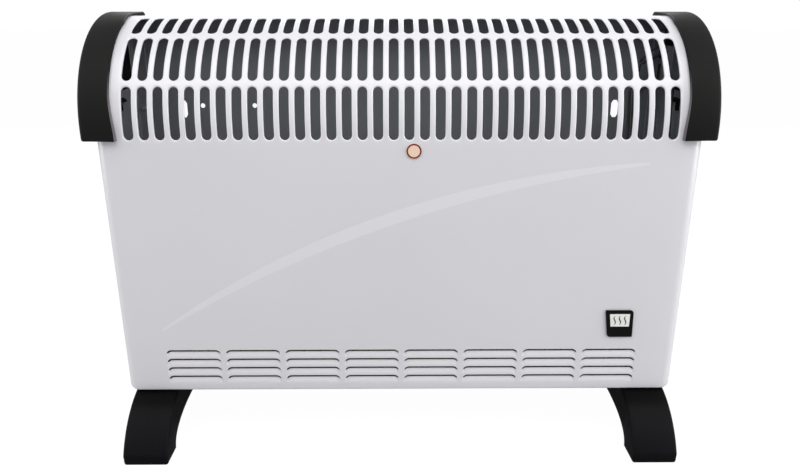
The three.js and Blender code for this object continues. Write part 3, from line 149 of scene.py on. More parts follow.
paper = bpy.data.materials.new("white_paper")
paper.use_nodes = True
paper.node_tree.nodes.clear()
paper_wires = Wire(paper.node_tree)
matte = paper_wires.node("ShaderNodeBsdfDiffuse", sockets={"Color": PAPER_TONE})
glow = paper_wires.node("ShaderNodeEmission", sockets={"Color": WHITE, "Strength": GLOW_STRENGTH})
glowing = FLOOR_GLOW * paper_wires.node("ShaderNodeLightPath", out="Is Camera Ray")
paper_shade = paper_wires.node("ShaderNodeMixShader", sockets={0: glowing, 1: matte, 2: glow})
paper_end = paper.node_tree.nodes.new("ShaderNodeOutputMaterial")
paper.node_tree.links.new(paper_shade.socket, paper_end.inputs["Surface"])

bpy.ops.mesh.primitive_plane_add(size=FLOOR_SIZE)
floor = bpy.context.object
floor.name = "floor"
floor.data.materials.append(paper)

for name, (place, aim, (width, height), watts) in LAMPS.items():
    lamp = bpy.data.lights.new(name, "AREA")
    lamp.shape = "RECTANGLE"
    lamp.size = width
    lamp.size_y = height
    lamp.energy = watts
    holder = bpy.data.objects.new(name, lamp)
    holder.location = place
    holder.rotation_euler = (Vector(aim) - Vector(place)).to_track_quat("-Z", "Y").to_euler()
    bpy.context.scene.collection.objects.link(holder)

# ---- Front shell ----
# One pressing of enamelled sheet steel 0.8 mm thick: the flat front rolls back over the top, and both
# sides are folded on, with the same windows. The outlet slots have rolled-in edges, and the inlet
# louvres are slit and pressed in. It is white outside, and only primed inside.

shell_low, shell_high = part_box("front_shell")
SIDE_X, FRONT_Y, BACK_Y = shell_high.x, shell_low.y, shell_high.y
BOTTOM_Z, TOP_Z = shell_low.z, shell_high.z
SHEET = 0.0008
TOP_RADIUS = 0.092
CURVE_Y = FRONT_Y + TOP_RADIUS
CURVE_Z = TOP_Z - TOP_RADIUS
CURVE_LENGTH = TOP_RADIUS * pi / 2
CORNER_RADIUS = 0.010
FOLD_RADIUS = 0.0018
LOWER_RADIUS = 0.006
FLAT_X = SIDE_X - CORNER_RADIUS
FOLD_Y = BACK_Y - FOLD_RADIUS
CORNER_STEPS = 6
FOLD_STEPS = 4
PANEL_ROWS = 12
ZIPPED_HEIGHT = 0.006
MERGED_WITHIN = 2e-6
CRISP_FROM = 50

# All that is punched lies a little to the right. A row of slots is its start along the skin and its
# length, and the bands are where the rows' cells meet.
PUNCHED_MIDDLE = 0.001
SLOT_PITCH = 0.013
SLOT_RADIUS = 0.0041
SLOT_COUNT = 36
SLOT_ROWS = ((-0.0067, 0.0445), (0.0430, 0.0440), (0.0929, 0.0347))
SLOT_BANDS = (-0.0108, 0.0404, 0.0900, 0.134)
LIP_RADIUS = 0.0012
LIP_STEPS = 4
LIP_DEPTH = 0.0013
SLOT_END_STEPS = 8
SLOT_SIDE_STEPS = 9

LOUVRE_PITCH = 0.0549
LOUVRE_HALF = 0.0249
LOUVRE_COUNT = 8
LOUVRE_ROWS = 4
LOUVRE_ROW_PITCH = 0.0088
LOUVRE_LOWEST_Z = BOTTOM_Z + 0.0145
LOUVRE_HIGHEST_Z = LOUVRE_LOWEST_Z + (LOUVRE_ROWS - 1) * LOUVRE_ROW_PITCH
LOUVRE_BELOW = 0.0063
LOUVRE_PRESS = 0.0009
LOUVRE_PRESS_HEIGHT = 0.0052
LOUVRE_END = 0.0042
LOUVRE_END_DROP = 0.0024
LOUVRE_GAP = 0.0011

# The painted reflection, a paler band, lies inside the upper circle and outside the lower one, given by
# centre and radius.
STRIPE_UPPER = (0.2551, -0.5266, 0.7958)
STRIPE_LOWER = (0.3556, -0.8079, 1.0834)
STRIPE_ENDS = (-0.217, 0.212)
PAINTED_REFLECTION_COLOUR = srgb(221, 220, 224)

# The windows in the side walls: the front, low, back and high edges of one, and the other's corners
CLIP_WINDOW = (0.005, 0.3022, 0.017, 0.3132)
CONTROL_WINDOW = ((-0.0055, 0.3205), (0.0475, 0.3205), (0.0475, 0.3695), (0.015, 0.3695), (-0.0055, 0.358))
FOOT_FLANGE = 0.046
BOTTOM_FLANGE = 0.014
REAR_FLANGE = 0.012


def eased(share):
    """0 to 1, starting and ending gently."""
    share = min(max(share, 0), 1)
    return share * share * (3 - 2 * share)


def between(start, end, steps):
    """Evenly spaced values from start to end."""
    return [start + (end - start) * i / steps for i in range(steps + 1)]


def on_skin(x, along, depth=0.0):
    """A point of the front and top. along is counted up the skin from where the front starts to
    curve, and depth is how far it lies inside."""
    angle = min(max(along / TOP_RADIUS, 0), pi / 2)
    radius = TOP_RADIUS - depth
    y = CURVE_Y - radius * cos(angle) + max(along - CURVE_LENGTH, 0)
    return Vector((x, y, CURVE_Z + radius * sin(angle) + min(along, 0)))


class Pressing:
    """Collects the points and faces of one piece. Points that coincide are merged at the end."""

    def __init__(self):
        self.points = []
        self.faces = []

    def grid(self, rows, closed=False):
        """Faces between rows of equally many points, each row joined to itself where closed."""
        start = len(self.points)
        width = len(rows[0])
        self.points += [point for row in rows for point in row]
        for r in range(len(rows) - 1):
            for c in range(width if closed else width - 1):
                low, high = start + r * width, start + (r + 1) * width
                after = (c + 1) % width
                self.faces.append((low + c, low + after, high + after, high + c))

    def zipped(self, lower, upper):
        """Triangles between two level rows of points that don't stand over each other."""
        a, b = len(self.points), len(self.points) + len(lower)
        self.points += [*lower, *upper]
        last_a, last_b = b - 1, len(self.points) - 1
        while a < last_a or b < last_b:
            if b == last_b or (a < last_a and self.points[a + 1].x <= self.points[b + 1].x):
                self.faces.append((a, a + 1, b))
                a += 1
            else:
                self.faces.append((a, b + 1, b))
                b += 1

    def plane(self, *loops):
        """A flat face with the first loop as its outline and the others as holes."""
        start = len(self.points)
        self.points += [point for loop in loops for point in loop]
        self.faces += [tuple(start + i for i in face) for face in tessellate_polygon(loops)]

    def capped(self, rows):
        """A run of closed rows with both its ends filled."""
        self.grid(rows, closed=True)
        self.plane(rows[0])
        self.plane(rows[-1])


def piece(name, form, finishes, body="heater_body", smooth=40):
    """The piece as an object that rides on its body, with its points merged and its faces turned
    outwards. Edges sharper than smooth, in degrees, stay crisp."""
    mesh = bpy.data.meshes.new(name)
    mesh.from_pydata(form.points, [], form.faces)
    shape = bmesh.new()
    shape.from_mesh(mesh)
    bmesh.ops.remove_doubles(shape, verts=shape.verts, dist=MERGED_WITHIN)
    bmesh.ops.dissolve_degenerate(shape, dist=MERGED_WITHIN / 2, edges=shape.edges)
    bmesh.ops.recalc_face_normals(shape, faces=shape.faces)
    shape.to_mesh(mesh)
    shape.free()
    made = bpy.data.objects.new(name, mesh)
    bpy.context.scene.collection.objects.link(made)
    for material in finishes:
        mesh.materials.append(material)
    crisp(made, smooth)
    if body:
        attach(made, body)
    return made


def crisp(made, smooth):
    """Shades the piece smooth, but for its edges that are sharper than smooth, in degrees."""
    made.data.shade_smooth()
    made.data.set_sharp_from_angle(angle=radians(smooth))


def settled(made):
    """Turns the piece's modifiers into its own mesh."""
    graph = bpy.context.evaluated_depsgraph_get()
    mesh = bpy.data.meshes.new_from_object(made.evaluated_get(graph))
    made.modifiers.clear()
    made.data = mesh


def slot_rings(middle, low, lower, upper, high):
    """The rings of points round one slot: down its lip, over the roll, and out to its cell's edge.
    Its round ends are struck from lower and upper, and its cell reaches from low to high."""
    ends = between(0, pi, SLOT_END_STEPS)
    up = between(lower, upper, SLOT_SIDE_STEPS)[1:-1]
    swing = [(upper, cos(a), sin(a)) for a in ends] + [(s, -1, 0) for s in reversed(up)]
    swing += [(lower, -cos(a), -sin(a)) for a in ends] + [(s, 1, 0) for s in up]
    rolls = [(LIP_RADIUS * (1 - sin(turn)), LIP_RADIUS * (1 - cos(turn)))
             for turn in between(pi / 2, 0, LIP_STEPS)]
    rings = []
    for out, depth in [(0.0, LIP_DEPTH), *rolls]:
        reach = SLOT_RADIUS + out
        rings.append([on_skin(middle + reach * nx, s + reach * ns, depth) for s, nx, ns in swing])
    half = SLOT_PITCH / 2
    frame_end = [(1, 0), (1, 0.5), (1, 1), (0.5, 1), (0, 1), (-0.5, 1), (-1, 1), (-1, 0.5), (-1, 0)]
    edge = [(half * x, upper + (high - upper) * t) for x, t in frame_end] + [(-half, s) for s in reversed(up)]
    edge += [(-half * x, lower + (low - lower) * t) for x, t in frame_end] + [(half, s) for s in up]
    return [*rings, [on_skin(middle + x, s) for x, s in edge]]


def slot_levels(low, lower, upper, high):
    """How high the points stand on the side of a row's cells."""
    return [low, (low + lower) / 2, *between(lower, upper, SLOT_SIDE_STEPS), (upper + high) / 2, high]


# The points of a louvre's cell crowd together at the ends of its slit, and close under it.
LOUVRE_LEFT_SHARES = [-1, -0.95, -0.907, -0.897, -0.885, -0.87, -0.85, -0.83, -0.79, -0.74, -0.5, -0.25]
LOUVRE_ACROSS = [*LOUVRE_LEFT_SHARES, 0, *[-share for share in reversed(LOUVRE_LEFT_SHARES)]]
LOUVRE_COLUMNS = [share * LOUVRE_PITCH / 2 for share in LOUVRE_ACROSS]
LOUVRE_LOWER_SHARES = [0, 0.18, 0.36, 0.52, 0.66, 0.78, 0.88, 0.95, 1]
LOUVRE_UPPER_SHARES = [0, 0.15, 0.5, 1]


def louvre_point(x, z, share, upper, middle):
    """A point of one louvre's cell. Above the slit, share counts from the slit to the cell's upper
    edge, and below it from the cell's lower edge to the slit."""
    inward = (LOUVRE_HALF - abs(x)) / LOUVRE_END
    cut = z - LOUVRE_END_DROP * (1 - eased(inward) ** 0.5)
    open_by = eased(inward * 4) ** 0.5
    if upper:
        top = z - LOUVRE_BELOW + LOUVRE_ROW_PITCH
        edge = cut + LOUVRE_GAP * open_by
        return on_skin(middle + x, edge + (top - edge) * share - CURVE_Z)
    edge = cut - LOUVRE_GAP * open_by
    low = z - LOUVRE_BELOW
    here = low + (edge - low) * share
    press = LOUVRE_PRESS * open_by * (1 - eased((edge - here) / LOUVRE_PRESS_HEIGHT))
    return on_skin(middle + x, here - CURVE_Z, press)


def louvre_levels(z):
    """How high the points stand on the side of a louvre's cell."""
    cut = z - LOUVRE_END_DROP
    low, top = z - LOUVRE_BELOW, z - LOUVRE_BELOW + LOUVRE_ROW_PITCH
    levels = [low + (cut - low) * share for share in LOUVRE_LOWER_SHARES]
    return levels + [cut + (top - cut) * share for share in LOUVRE_UPPER_SHARES[1:]]


def spread(count, pitch, middle=0.0):
    return [middle + (i - (count - 1) / 2) * pitch for i in range(count)]


shell = Pressing()
row_heights = between(LOUVRE_LOWEST_Z, LOUVRE_HIGHEST_Z, LOUVRE_ROWS - 1)
louvre_middles = spread(LOUVRE_COUNT, LOUVRE_PITCH, PUNCHED_MIDDLE)
for z in row_heights:
    for middle in louvre_middles:
        for shares, upper in ((LOUVRE_LOWER_SHARES, False), (LOUVRE_UPPER_SHARES, True)):
            shell.grid([
                [louvre_point(x, z, share, upper, middle) for x in LOUVRE_COLUMNS] for share in shares
            ])
slot_middles = spread(SLOT_COUNT, SLOT_PITCH, PUNCHED_MIDDLE)
slot_cells = [(low, start + SLOT_RADIUS, start + length - SLOT_RADIUS, high)
              for (start, length), low, high in zip(SLOT_ROWS, SLOT_BANDS, SLOT_BANDS[1:])]
for cell in slot_cells:
    for middle in slot_middles:
        shell.grid(slot_rings(middle, *cell), closed=True)

# The plain sheet between and beside them
louvre_edge = LOUVRE_COUNT * LOUVRE_PITCH / 2
slot_edge = SLOT_COUNT * SLOT_PITCH / 2
under_slots = [middle + x for middle in slot_middles
               for x in (-SLOT_PITCH / 2, -SLOT_PITCH / 4, 0, SLOT_PITCH / 4)]
slot_columns = [-FLAT_X, *under_slots, PUNCHED_MIDDLE + slot_edge, FLAT_X]
over_louvres = [middle + x for middle in louvre_middles for x in LOUVRE_COLUMNS[:-1]]
louvre_columns = [-FLAT_X, *over_louvres, PUNCHED_MIDDLE + louvre_edge, FLAT_X]
front_low = BOTTOM_Z + FOLD_RADIUS
louvres_low = LOUVRE_LOWEST_Z - LOUVRE_BELOW
louvres_high = LOUVRE_HIGHEST_Z - LOUVRE_BELOW + LOUVRE_ROW_PITCH
panel_low = louvres_high + ZIPPED_HEIGHT
panel_levels = between(panel_low, CURVE_Z + SLOT_BANDS[0], PANEL_ROWS)
top_levels = [SLOT_BANDS[-1], CURVE_LENGTH, CURVE_LENGTH + FOLD_Y - CURVE_Y]


def level_rows(columns, heights):
    return [[on_skin(x, z - CURVE_Z) for x in columns] for z in heights]


shell.grid(level_rows(louvre_columns, [front_low, louvres_low]))
shell.zipped(*level_rows(louvre_columns, [louvres_high]), *level_rows(slot_columns, [panel_low]))
shell.grid(level_rows(slot_columns, panel_levels))
shell.grid([[on_skin(x, along) for x in slot_columns] for along in top_levels])
louvre_heights = sorted({round(z, 7) for row in row_heights for z in louvre_levels(row)})
slot_alongs = sorted({round(along, 7) for cell in slot_cells for along in slot_levels(*cell)})
for side in (-1, 1):
    shell.grid(level_rows([PUNCHED_MIDDLE + side * louvre_edge, side * FLAT_X], louvre_heights))
    beside_slots = (PUNCHED_MIDDLE + side * slot_edge, side * FLAT_X)
    shell.grid([[on_skin(x, along) for x in beside_slots] for along in slot_alongs])

# The corner from the front to each side, the side walls, and the folds to the back and bottom
corner_turns = between(0, pi / 2, CORNER_STEPS)
fold_turns = between(0, pi / 2, FOLD_STEPS)
front_levels = [z - CURVE_Z for z in [*louvre_heights, *panel_levels]]
skin_levels = sorted({round(along, 7) for along in front_levels + slot_alongs + top_levels})


def corner_x(turn):
    return FLAT_X + CORNER_RADIUS * sin(turn)


def corner_depth(turn):
    return CORNER_RADIUS * (1 - cos(turn))


def lower_radius(turn):
    """The fold under the front is tighter than the one under the side."""
    return FOLD_RADIUS + (LOWER_RADIUS - FOLD_RADIUS) * turn / (pi / 2)


def skin_corner(side, turn):
    """The points up one station of the corner between the skin and a side wall."""
    lowest = BOTTOM_Z + lower_radius(turn) - CURVE_Z
    return [on_skin(side * corner_x(turn), along, corner_depth(turn)) for along in [lowest, *skin_levels]]


def at_x(x, outline):
    return [Vector((x, y, z)) for y, z in outline]


def at_y(y, outline):
    return [Vector((x, y, z)) for x, z in outline]


def at_z(z, outline):
    return [Vector((x, y, z)) for x, y in outline]


def window(left, low, right, high):
    """A rectangle as an outline."""
    return [(left, low), (right, low), (right, high), (left, high)]


# The lower rim, as stations that each hold a place, the way outwards and the fold's radius
rim = [(x, FRONT_Y, 0, -1, FOLD_RADIUS) for x in louvre_columns]
rim += [(corner_x(t), FRONT_Y + corner_depth(t), sin(t), -cos(t), lower_radius(t))
        for t in corner_turns[1:]]
rim += [(SIDE_X - FOLD_RADIUS + FOLD_RADIUS * cos(t), FOLD_Y + FOLD_RADIUS * sin(t), cos(t), sin(t),
         FOLD_RADIUS) for t in fold_turns]
rim += [(-x, y, -nx, ny, radius) for x, y, nx, ny, radius in rim[:len(louvre_columns) - 2:-1]]
for side in (-1, 1):
    corner = [skin_corner(side, turn) for turn in corner_turns]
    shell.grid(corner)
    side_x = side * SIDE_X
    wall_top = corner[-1][-1].z
    wall = [*corner[-1], Vector((side_x, FOLD_Y, front_low))]
    shell.plane(wall, at_x(side_x, window(*CLIP_WINDOW)), at_x(side_x, CONTROL_WINDOW))
    back_corner = [(side * (SIDE_X - FOLD_RADIUS * (1 - cos(t))), FOLD_Y + FOLD_RADIUS * sin(t))
                   for t in fold_turns]
    shell.grid([at_z(z, back_corner) for z in (front_low, wall_top)])


def under_fold(x, y, nx, ny, radius, turn):
    """A point of the fold from a station of the rim round to the underside."""
    inward = radius * (1 - cos(turn))
    return Vector((x - nx * inward, y - ny * inward, BOTTOM_Z + radius * (1 - sin(turn))))


bottom_rows = [[under_fold(*station, turn) for station in rim] for turn in fold_turns]
shell.grid(bottom_rows, closed=True)
foot_edge = SIDE_X - FOOT_FLANGE
bottom_window = window(-foot_edge, FRONT_Y + BOTTOM_FLANGE, foot_edge, BACK_Y - BOTTOM_FLANGE)
shell.plane(bottom_rows[-1], at_z(BOTTOM_Z, bottom_window))

# The back edges of the skin, and the flange that the rear panel is screwed to
top_corner = [(corner_x(t), TOP_Z - corner_depth(t), sin(t), cos(t)) for t in corner_turns[1:]]
top_rim = [(-x, z, -nx, nz) for x, z, nx, nz in reversed(top_corner)]
top_rim += [(x, TOP_Z, 0, 1) for x in slot_columns] + top_corner
back_rows = []
for turn in fold_turns:
    inward = FOLD_RADIUS * (1 - cos(turn))
    y = FOLD_Y + FOLD_RADIUS * sin(turn)
    back_rows.append([Vector((x - nx * inward, y, z - nz * inward)) for x, z, nx, nz in top_rim])
shell.grid(back_rows)
flange_x = SIDE_X - FOLD_RADIUS
back_feet = at_y(BACK_Y, [(flange_x, front_low), (-flange_x, front_low)])
rim_width = SHEET + REAR_FLANGE
back_window = window(rim_width - SIDE_X, BOTTOM_Z + rim_width, SIDE_X - rim_width, TOP_Z - rim_width)
shell.plane(back_rows[-1] + back_feet, at_y(BACK_Y, back_window))


def finish(name, constants, varying):
    """A material. What is the same all over is set on the shader, and varying gives the rest."""
    material = bpy.data.materials.new(name)
    material.use_nodes = True
    shader = material.node_tree.nodes["Principled BSDF"]
    for socket, value in constants.items():
        shader.inputs[socket].default_value = value
    for socket, wire in varying(Wire(material.node_tree)).items():
        material.node_tree.links.new(wire.socket, shader.inputs[socket])
    return material


def place_on(wires):
    return wires.node("ShaderNodeTexCoord", out="Object")


def grain(wires, scale, detail=2.0):
    sockets = {"Vector": place_on(wires), "Scale": scale, "Detail": detail}
    return wires.node("ShaderNodeTexNoise", sockets=sockets, out="Fac")


def blended(wires, factor, first, second):
    sockets = {"Factor": factor, "A": first, "B": second}
    return wires.node("ShaderNodeMix", {"data_type": "RGBA"}, sockets, out="Result")


def bumped(wires, height, strength, distance):
    return wires.node("ShaderNodeBump", sockets={
        "Height": height, "Strength": strength, "Distance": distance})


def coordinate(wires, axis, vector=None):
    """How far along an axis a point of the surface lies, or how far another vector points."""
    return wires.node("ShaderNodeSeparateXYZ", sockets={"Vector": vector or place_on(wires)}, out=axis)


def mottled(tones, drift, roughness, wear, detail=2.0):
    """A coat that drifts between two tones, and whose roughness is a least value and a change that
    goes by finer patches. Drift and wear count the patches in a metre."""
    least, change = roughness

    def coat(wires):
        return {
            "Base Color": blended(wires, grain(wires, drift, detail), *[srgb(*tone) for tone in tones]),
            "Roughness": least + change * grain(wires, wear),
        }

    return coat


enamel = mottled(((211, 210, 215), (217, 216, 220)), drift=7, roughness=(0.27, 0.03), wear=12)
primer = mottled(((118, 121, 126), (132, 135, 140)), drift=30, detail=4, roughness=(0.45, 0.2), wear=90)


def enamel_with_painted_reflection(wires):
    """The enamel with a painted reflection across the front: a paler band between two circles that cross."""
    coat = enamel(wires)
    painted_reflection = wires.maths("LESS_THAN", coordinate(wires, "Y"), FRONT_Y + SHEET)
    flat = wires.node("ShaderNodeVectorMath", {"operation": "MULTIPLY"}, {0: place_on(wires), 1: (1, 0, 1)})
    for circle, side in ((STRIPE_UPPER, "LESS_THAN"), (STRIPE_LOWER, "GREATER_THAN")):
        centre_x, centre_z, radius = circle
        reach = wires.node("ShaderNodeVectorMath", {"operation": "DISTANCE"}, {
            0: flat, 1: (centre_x, 0, centre_z)}, out="Value")
        painted_reflection = painted_reflection * wires.maths(side, reach, radius)
    for end, side in zip(STRIPE_ENDS, ("GREATER_THAN", "LESS_THAN")):
        painted_reflection = painted_reflection * wires.maths(side, coordinate(wires, "X"), end)
    # Painted reflection: the band is a paler base colour, not a real reflection
    coat["Base Color"] = blended(wires, painted_reflection, coat["Base Color"], PAINTED_REFLECTION_COLOUR)
    return coat


white_enamel = finish("white_enamel", {"Coat Weight": 0.25, "Coat Roughness": 0.12}, enamel_with_painted_reflection)
grey_primer = finish("grey_primer", {}, primer)

front_shell = piece("enamelled_shell", shell, [white_enamel, grey_primer], smooth=CRISP_FROM)
thickness = front_shell.modifiers.new("thickness", "SOLIDIFY")
thickness.thickness = SHEET
thickness.offset = -1
thickness.material_offset = 1
settled(front_shell)
crisp(front_shell, CRISP_FROM)
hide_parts("front_shell")

# ---- Rear panel ----
# A flat sheet of the same steel, screwed to the flanges. It is enamelled outside and only primed
# inside. Its hanging slots, tooling holes and inlet slots are in the drawn sheet.

panel_front, panel_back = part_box("rear_panel")
PANEL_MIDDLE_Y = (panel_front.y + panel_back.y) / 2


def dressed(node, material):
    """Gives a piece that is shown as it was drawn its finish."""
    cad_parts[node].material_slots[0].material = material


def primed_inside(wires):
    outside = wires.maths("GREATER_THAN", coordinate(wires, "Y"), PANEL_MIDDLE_Y)
    inner, outer = primer(wires), enamel(wires)
    return {
        "Base Color": blended(wires, outside, inner["Base Color"], outer["Base Color"]),
        "Roughness": inner["Roughness"] + outside * (outer["Roughness"] - inner["Roughness"]),
    }


dressed("rear_panel", finish("panel_enamel", {}, primed_inside))

# ---- Bottom plate ----
# The inlet plate that closes the body underneath and carries the element and the feet. It is sheet
# steel with a dark grey coating.

grey_coating = mottled(((84, 86, 89), (98, 100, 103)), drift=40, detail=4, roughness=(0.4, 0.15), wear=120)
dressed("bottom_plate", finish("grey_steel", {}, grey_coating))

# ---- End caps ----
# Two black mouldings, hollow over the body's upper ends, each held by a hook through the side wall
# and two screws at the back. The right one has the controls in a well in its side face.

cap_low, cap_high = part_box("right_end_cap")
GAP = 0.0003
CAP_CRISP_FROM = 35
CAP_ROLL = 0.003
CAP_LIP_ROLL = 0.0007
CAP_BACK_CORNER = 0.006
CAP_FLARE = 0.0037
CAP_FLARE_HEIGHT = 0.042
CAP_STAND_OUT = 0.0016
CAP_DRAWN_BACK = 0.005
CAP_DRAWN_FROM = radians(68)
CAP_THINNED = 0.0016
CAP_ARC_STEPS = 40
CAP_CORNER_STEPS = 8
ROLL_STEPS = 5
CAP_PROUD = FRONT_Y - cap_low.y
CAP_LIP = CAP_PROUD - GAP
CAP_WALL_X = SIDE_X + GAP
WELL_CENTRE = (0.018, 0.345)
WELL_SIZE = (0.064, 0.054)
WELL_CORNER = 0.012
WELL_FLOOR_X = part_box("thermostat_nut")[0].x - GAP
WELL_RIM = 0.0012
KNOB_CENTRE = (0.008, 0.345)
BUSHING_HOLE = 0.0053
BUSHING_STEPS = 36
SWITCH_CENTRES = {"upper": (0.038, 0.357), "lower": (0.038, 0.333)}
SWITCH_HOLE = (0.013, 0.0192)
SWITCH_HOLE_CORNER = 0.0012
HOOK_FRONT, HOOK_BACK, HOOK_TOP = CLIP_WINDOW[0] + GAP, CLIP_WINDOW[2] - GAP, CLIP_WINDOW[3] - GAP
HOOK_THICKNESS = 0.0024
HOOK_BARB = 0.0015
HOOK_REACH = 0.003
# Painted highlight: low on the front, the inward edge of the cap's lip is coloured paler where light catches
# it.
PAINTED_HIGHLIGHT_WIDTH = 0.002
PAINTED_HIGHLIGHT_FACING = -0.15
PAINTED_HIGHLIGHT_FROM, PAINTED_HIGHLIGHT_TO = CURVE_Z + 0.05, CURVE_Z + 0.02


def arc(y, z, radius, start, end, steps):
    """Points of the side view round an arc, which starts and ends at these angles in degrees."""
    turns = between(radians(start), radians(end), steps)
    return [(y + radius * cos(turn), z + radius * sin(turn)) for turn in turns]


def rounded(y, z, width, height, radius, steps=8):
    """A rectangle with round corners, as points of the side view."""
    across, up = width / 2 - radius, height / 2 - radius
    corners = ((1, 1, 0), (-1, 1, 90), (-1, -1, 180), (1, -1, 270))
    return [point for sy, sz, turn in corners
            for point in arc(y + sy * across, z + sz * up, radius, turn, turn + 90, steps)]


def quarter_roll(radius, steps=ROLL_STEPS):
    """How far in and how far along each point of a rounded edge lies."""
    return [(radius * (1 - cos(turn)), radius * sin(turn)) for turn in between(0, pi / 2, steps)]


def cap_outline(inset):
    """The cap's side outline: up the front, over the top and down the back."""
    back, high, corner = cap_high.y - inset, cap_high.z - inset, CAP_BACK_CORNER - inset
    over = arc(CURVE_Y, CURVE_Z, TOP_RADIUS + CAP_PROUD - inset, 180, 90, CAP_ARC_STEPS)
    down = arc(back - corner, high - corner, corner, 90, 0, CAP_CORNER_STEPS)
    return [(cap_low.y + inset, cap_low.z), *over, *down, (back, cap_low.z)]


def cap_ring(x, inset):
    """The cap's whole outline, closed underneath."""
    outline = cap_outline(inset)
    low = cap_low.z + inset
    under = [(cap_high.y - CAP_LIP, low), (cap_low.y + CAP_LIP, low)]
    return at_x(x, [(outline[0][0], low), *outline[1:-1], (outline[-1][0], low), *under])


def hook(form, side):
    """The barbed hook that snaps through the side wall's window."""
    wall_inside = SIDE_X - SHEET - GAP
    tip = wall_inside - HOOK_REACH
    outline = [(tip, HOOK_TOP - HOOK_THICKNESS), (CAP_WALL_X, HOOK_TOP - HOOK_THICKNESS),
               (CAP_WALL_X, HOOK_TOP), (wall_inside, HOOK_TOP), (wall_inside, HOOK_TOP + HOOK_BARB),
               (tip, HOOK_TOP)]
    form.capped([at_y(y, [(side * x, z) for x, z in outline]) for y in (HOOK_FRONT, HOOK_BACK)])


def lip_row(side, x, inset, shaped):
    """The cap's outline along its lip. Low on the front it lies further in and stands out, and over
    the top it is drawn back and thinned down to the body."""
    row = []
    for y, z in cap_outline(inset):
        low = eased((cap_low.z - z) / CAP_FLARE_HEIGHT + 1) * (y < CURVE_Y)
        turn = atan2(max(z - CURVE_Z, 0), max(CURVE_Y - y, 0))
        over = max(turn - CAP_DRAWN_FROM, 0) / (pi / 2 - CAP_DRAWN_FROM)
        over *= max(1 - max(y - CURVE_Y, 0) / (FOLD_Y - CURVE_Y), 0)
        sunk = shaped * (CAP_THINNED * over - CAP_STAND_OUT * low)
        inward = CAP_FLARE * low - CAP_DRAWN_BACK * over
        row.append(Vector((side * (x - inward), y + sunk * cos(turn), z - sunk * sin(turn))))
    return row


def end_cap(side):
    form = Pressing()
    lip = [(cap_low.x + CAP_LIP_ROLL - along, inset) for inset, along in quarter_roll(CAP_LIP_ROLL)]
    band = [at_x(side * CAP_WALL_X, cap_outline(0))]
    band += [lip_row(side, x, inset, 1) for x, inset in lip]
    band += [lip_row(side, cap_low.x, CAP_LIP, 0), at_x(side * CAP_WALL_X, cap_outline(CAP_LIP))]
    form.grid(band)
    form.plane([row[0] for row in band])
    form.plane([row[-1] for row in band])
    edge_x = cap_high.x - CAP_ROLL
    rings = [cap_ring(side * CAP_WALL_X, 0)]
    rings += [cap_ring(side * (edge_x + along), inset) for inset, along in quarter_roll(CAP_ROLL)]
    form.grid(rings, closed=True)
    holes, openings = [], []
    if side > 0:
        holes.append(arc(*KNOB_CENTRE, BUSHING_HOLE, 0, 360, BUSHING_STEPS)[:-1])
        holes += [rounded(*centre, *SWITCH_HOLE, SWITCH_HOLE_CORNER, 3) for centre in SWITCH_CENTRES.values()]
        roll = quarter_roll(WELL_RIM)
        well = [(cap_high.x - WELL_RIM + along, inset) for inset, along in reversed(roll)]
        well += [(WELL_FLOOR_X + WELL_RIM - along, -inset) for inset, along in roll]
        width, height = WELL_SIZE
        walls = [at_x(x, rounded(*WELL_CENTRE, width + 2 * grow, height + 2 * grow, WELL_CORNER + grow))
                 for x, grow in well]
        form.grid(walls, closed=True)
        openings = [walls[0]]
        form.plane(walls[-1], *[at_x(WELL_FLOOR_X, hole) for hole in holes])
        for hole in holes:
            form.grid([at_x(WELL_FLOOR_X, hole), at_x(CAP_WALL_X, hole)], closed=True)
    form.plane(rings[-1], *openings)
    form.plane(band[-1], *[at_x(side * CAP_WALL_X, hole) for hole in holes])
    hook(form, side)
    return form


def grained_black(wires, tones):
    """Moulded black plastic with a fine spark-eroded grain, a little worn to brown."""
    coat = mottled(tones, drift=9, detail=3, roughness=(0.46, 0.16), wear=40)(wires)
    return {**coat, "Normal": bumped(wires, grain(wires, 1500), 0.35, 0.00015)}


def ramp(wires, value, start, end):
    """0 to 1 as the value goes from start to end."""
    return wires.node("ShaderNodeMapRange", sockets={"Value": value, "From Min": start, "From Max": end})


def cap_black(wires):
    """The grained plastic, with a painted highlight on the edge of the lip that faces inwards, low on the
    front, where light catches the edge's thickness.
    """
    coat = grained_black(wires, ((13, 14, 16), (22, 21, 19)))
    x = coordinate(wires, "X")
    facing_x = coordinate(wires, "X", wires.node("ShaderNodeNewGeometry", out="Normal"))
    on_edge = wires.maths("LESS_THAN", facing_x * x, PAINTED_HIGHLIGHT_FACING)
    near_edge = wires.maths("LESS_THAN", wires.maths("ABSOLUTE", x, 0.0), cap_low.x + PAINTED_HIGHLIGHT_WIDTH)
    painted_highlight = on_edge * near_edge * ramp(wires, coordinate(wires, "Z"), PAINTED_HIGHLIGHT_FROM, PAINTED_HIGHLIGHT_TO)
    # Painted highlight: a paler base colour on the lit inward edge of the lip
    coat["Base Color"] = blended(wires, painted_highlight, coat["Base Color"], srgb(104, 100, 105))
    return coat


cap_plastic = finish("cap_plastic", {"Specular IOR Level": 0.09}, cap_black)
for side, node in ((-1, "left_end_cap"), (1, "right_end_cap")):
    cap = piece(node + "_moulding", end_cap(side), [cap_plastic], smooth=CAP_CRISP_FROM)
    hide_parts(node)

# ---- Thermostat ----
# A bimetal control behind the well floor, held by a nut on its threaded bushing. Its knob is moulded
# in black, with a fluted grip and a white line on the pointer, and turns over a printed scale.

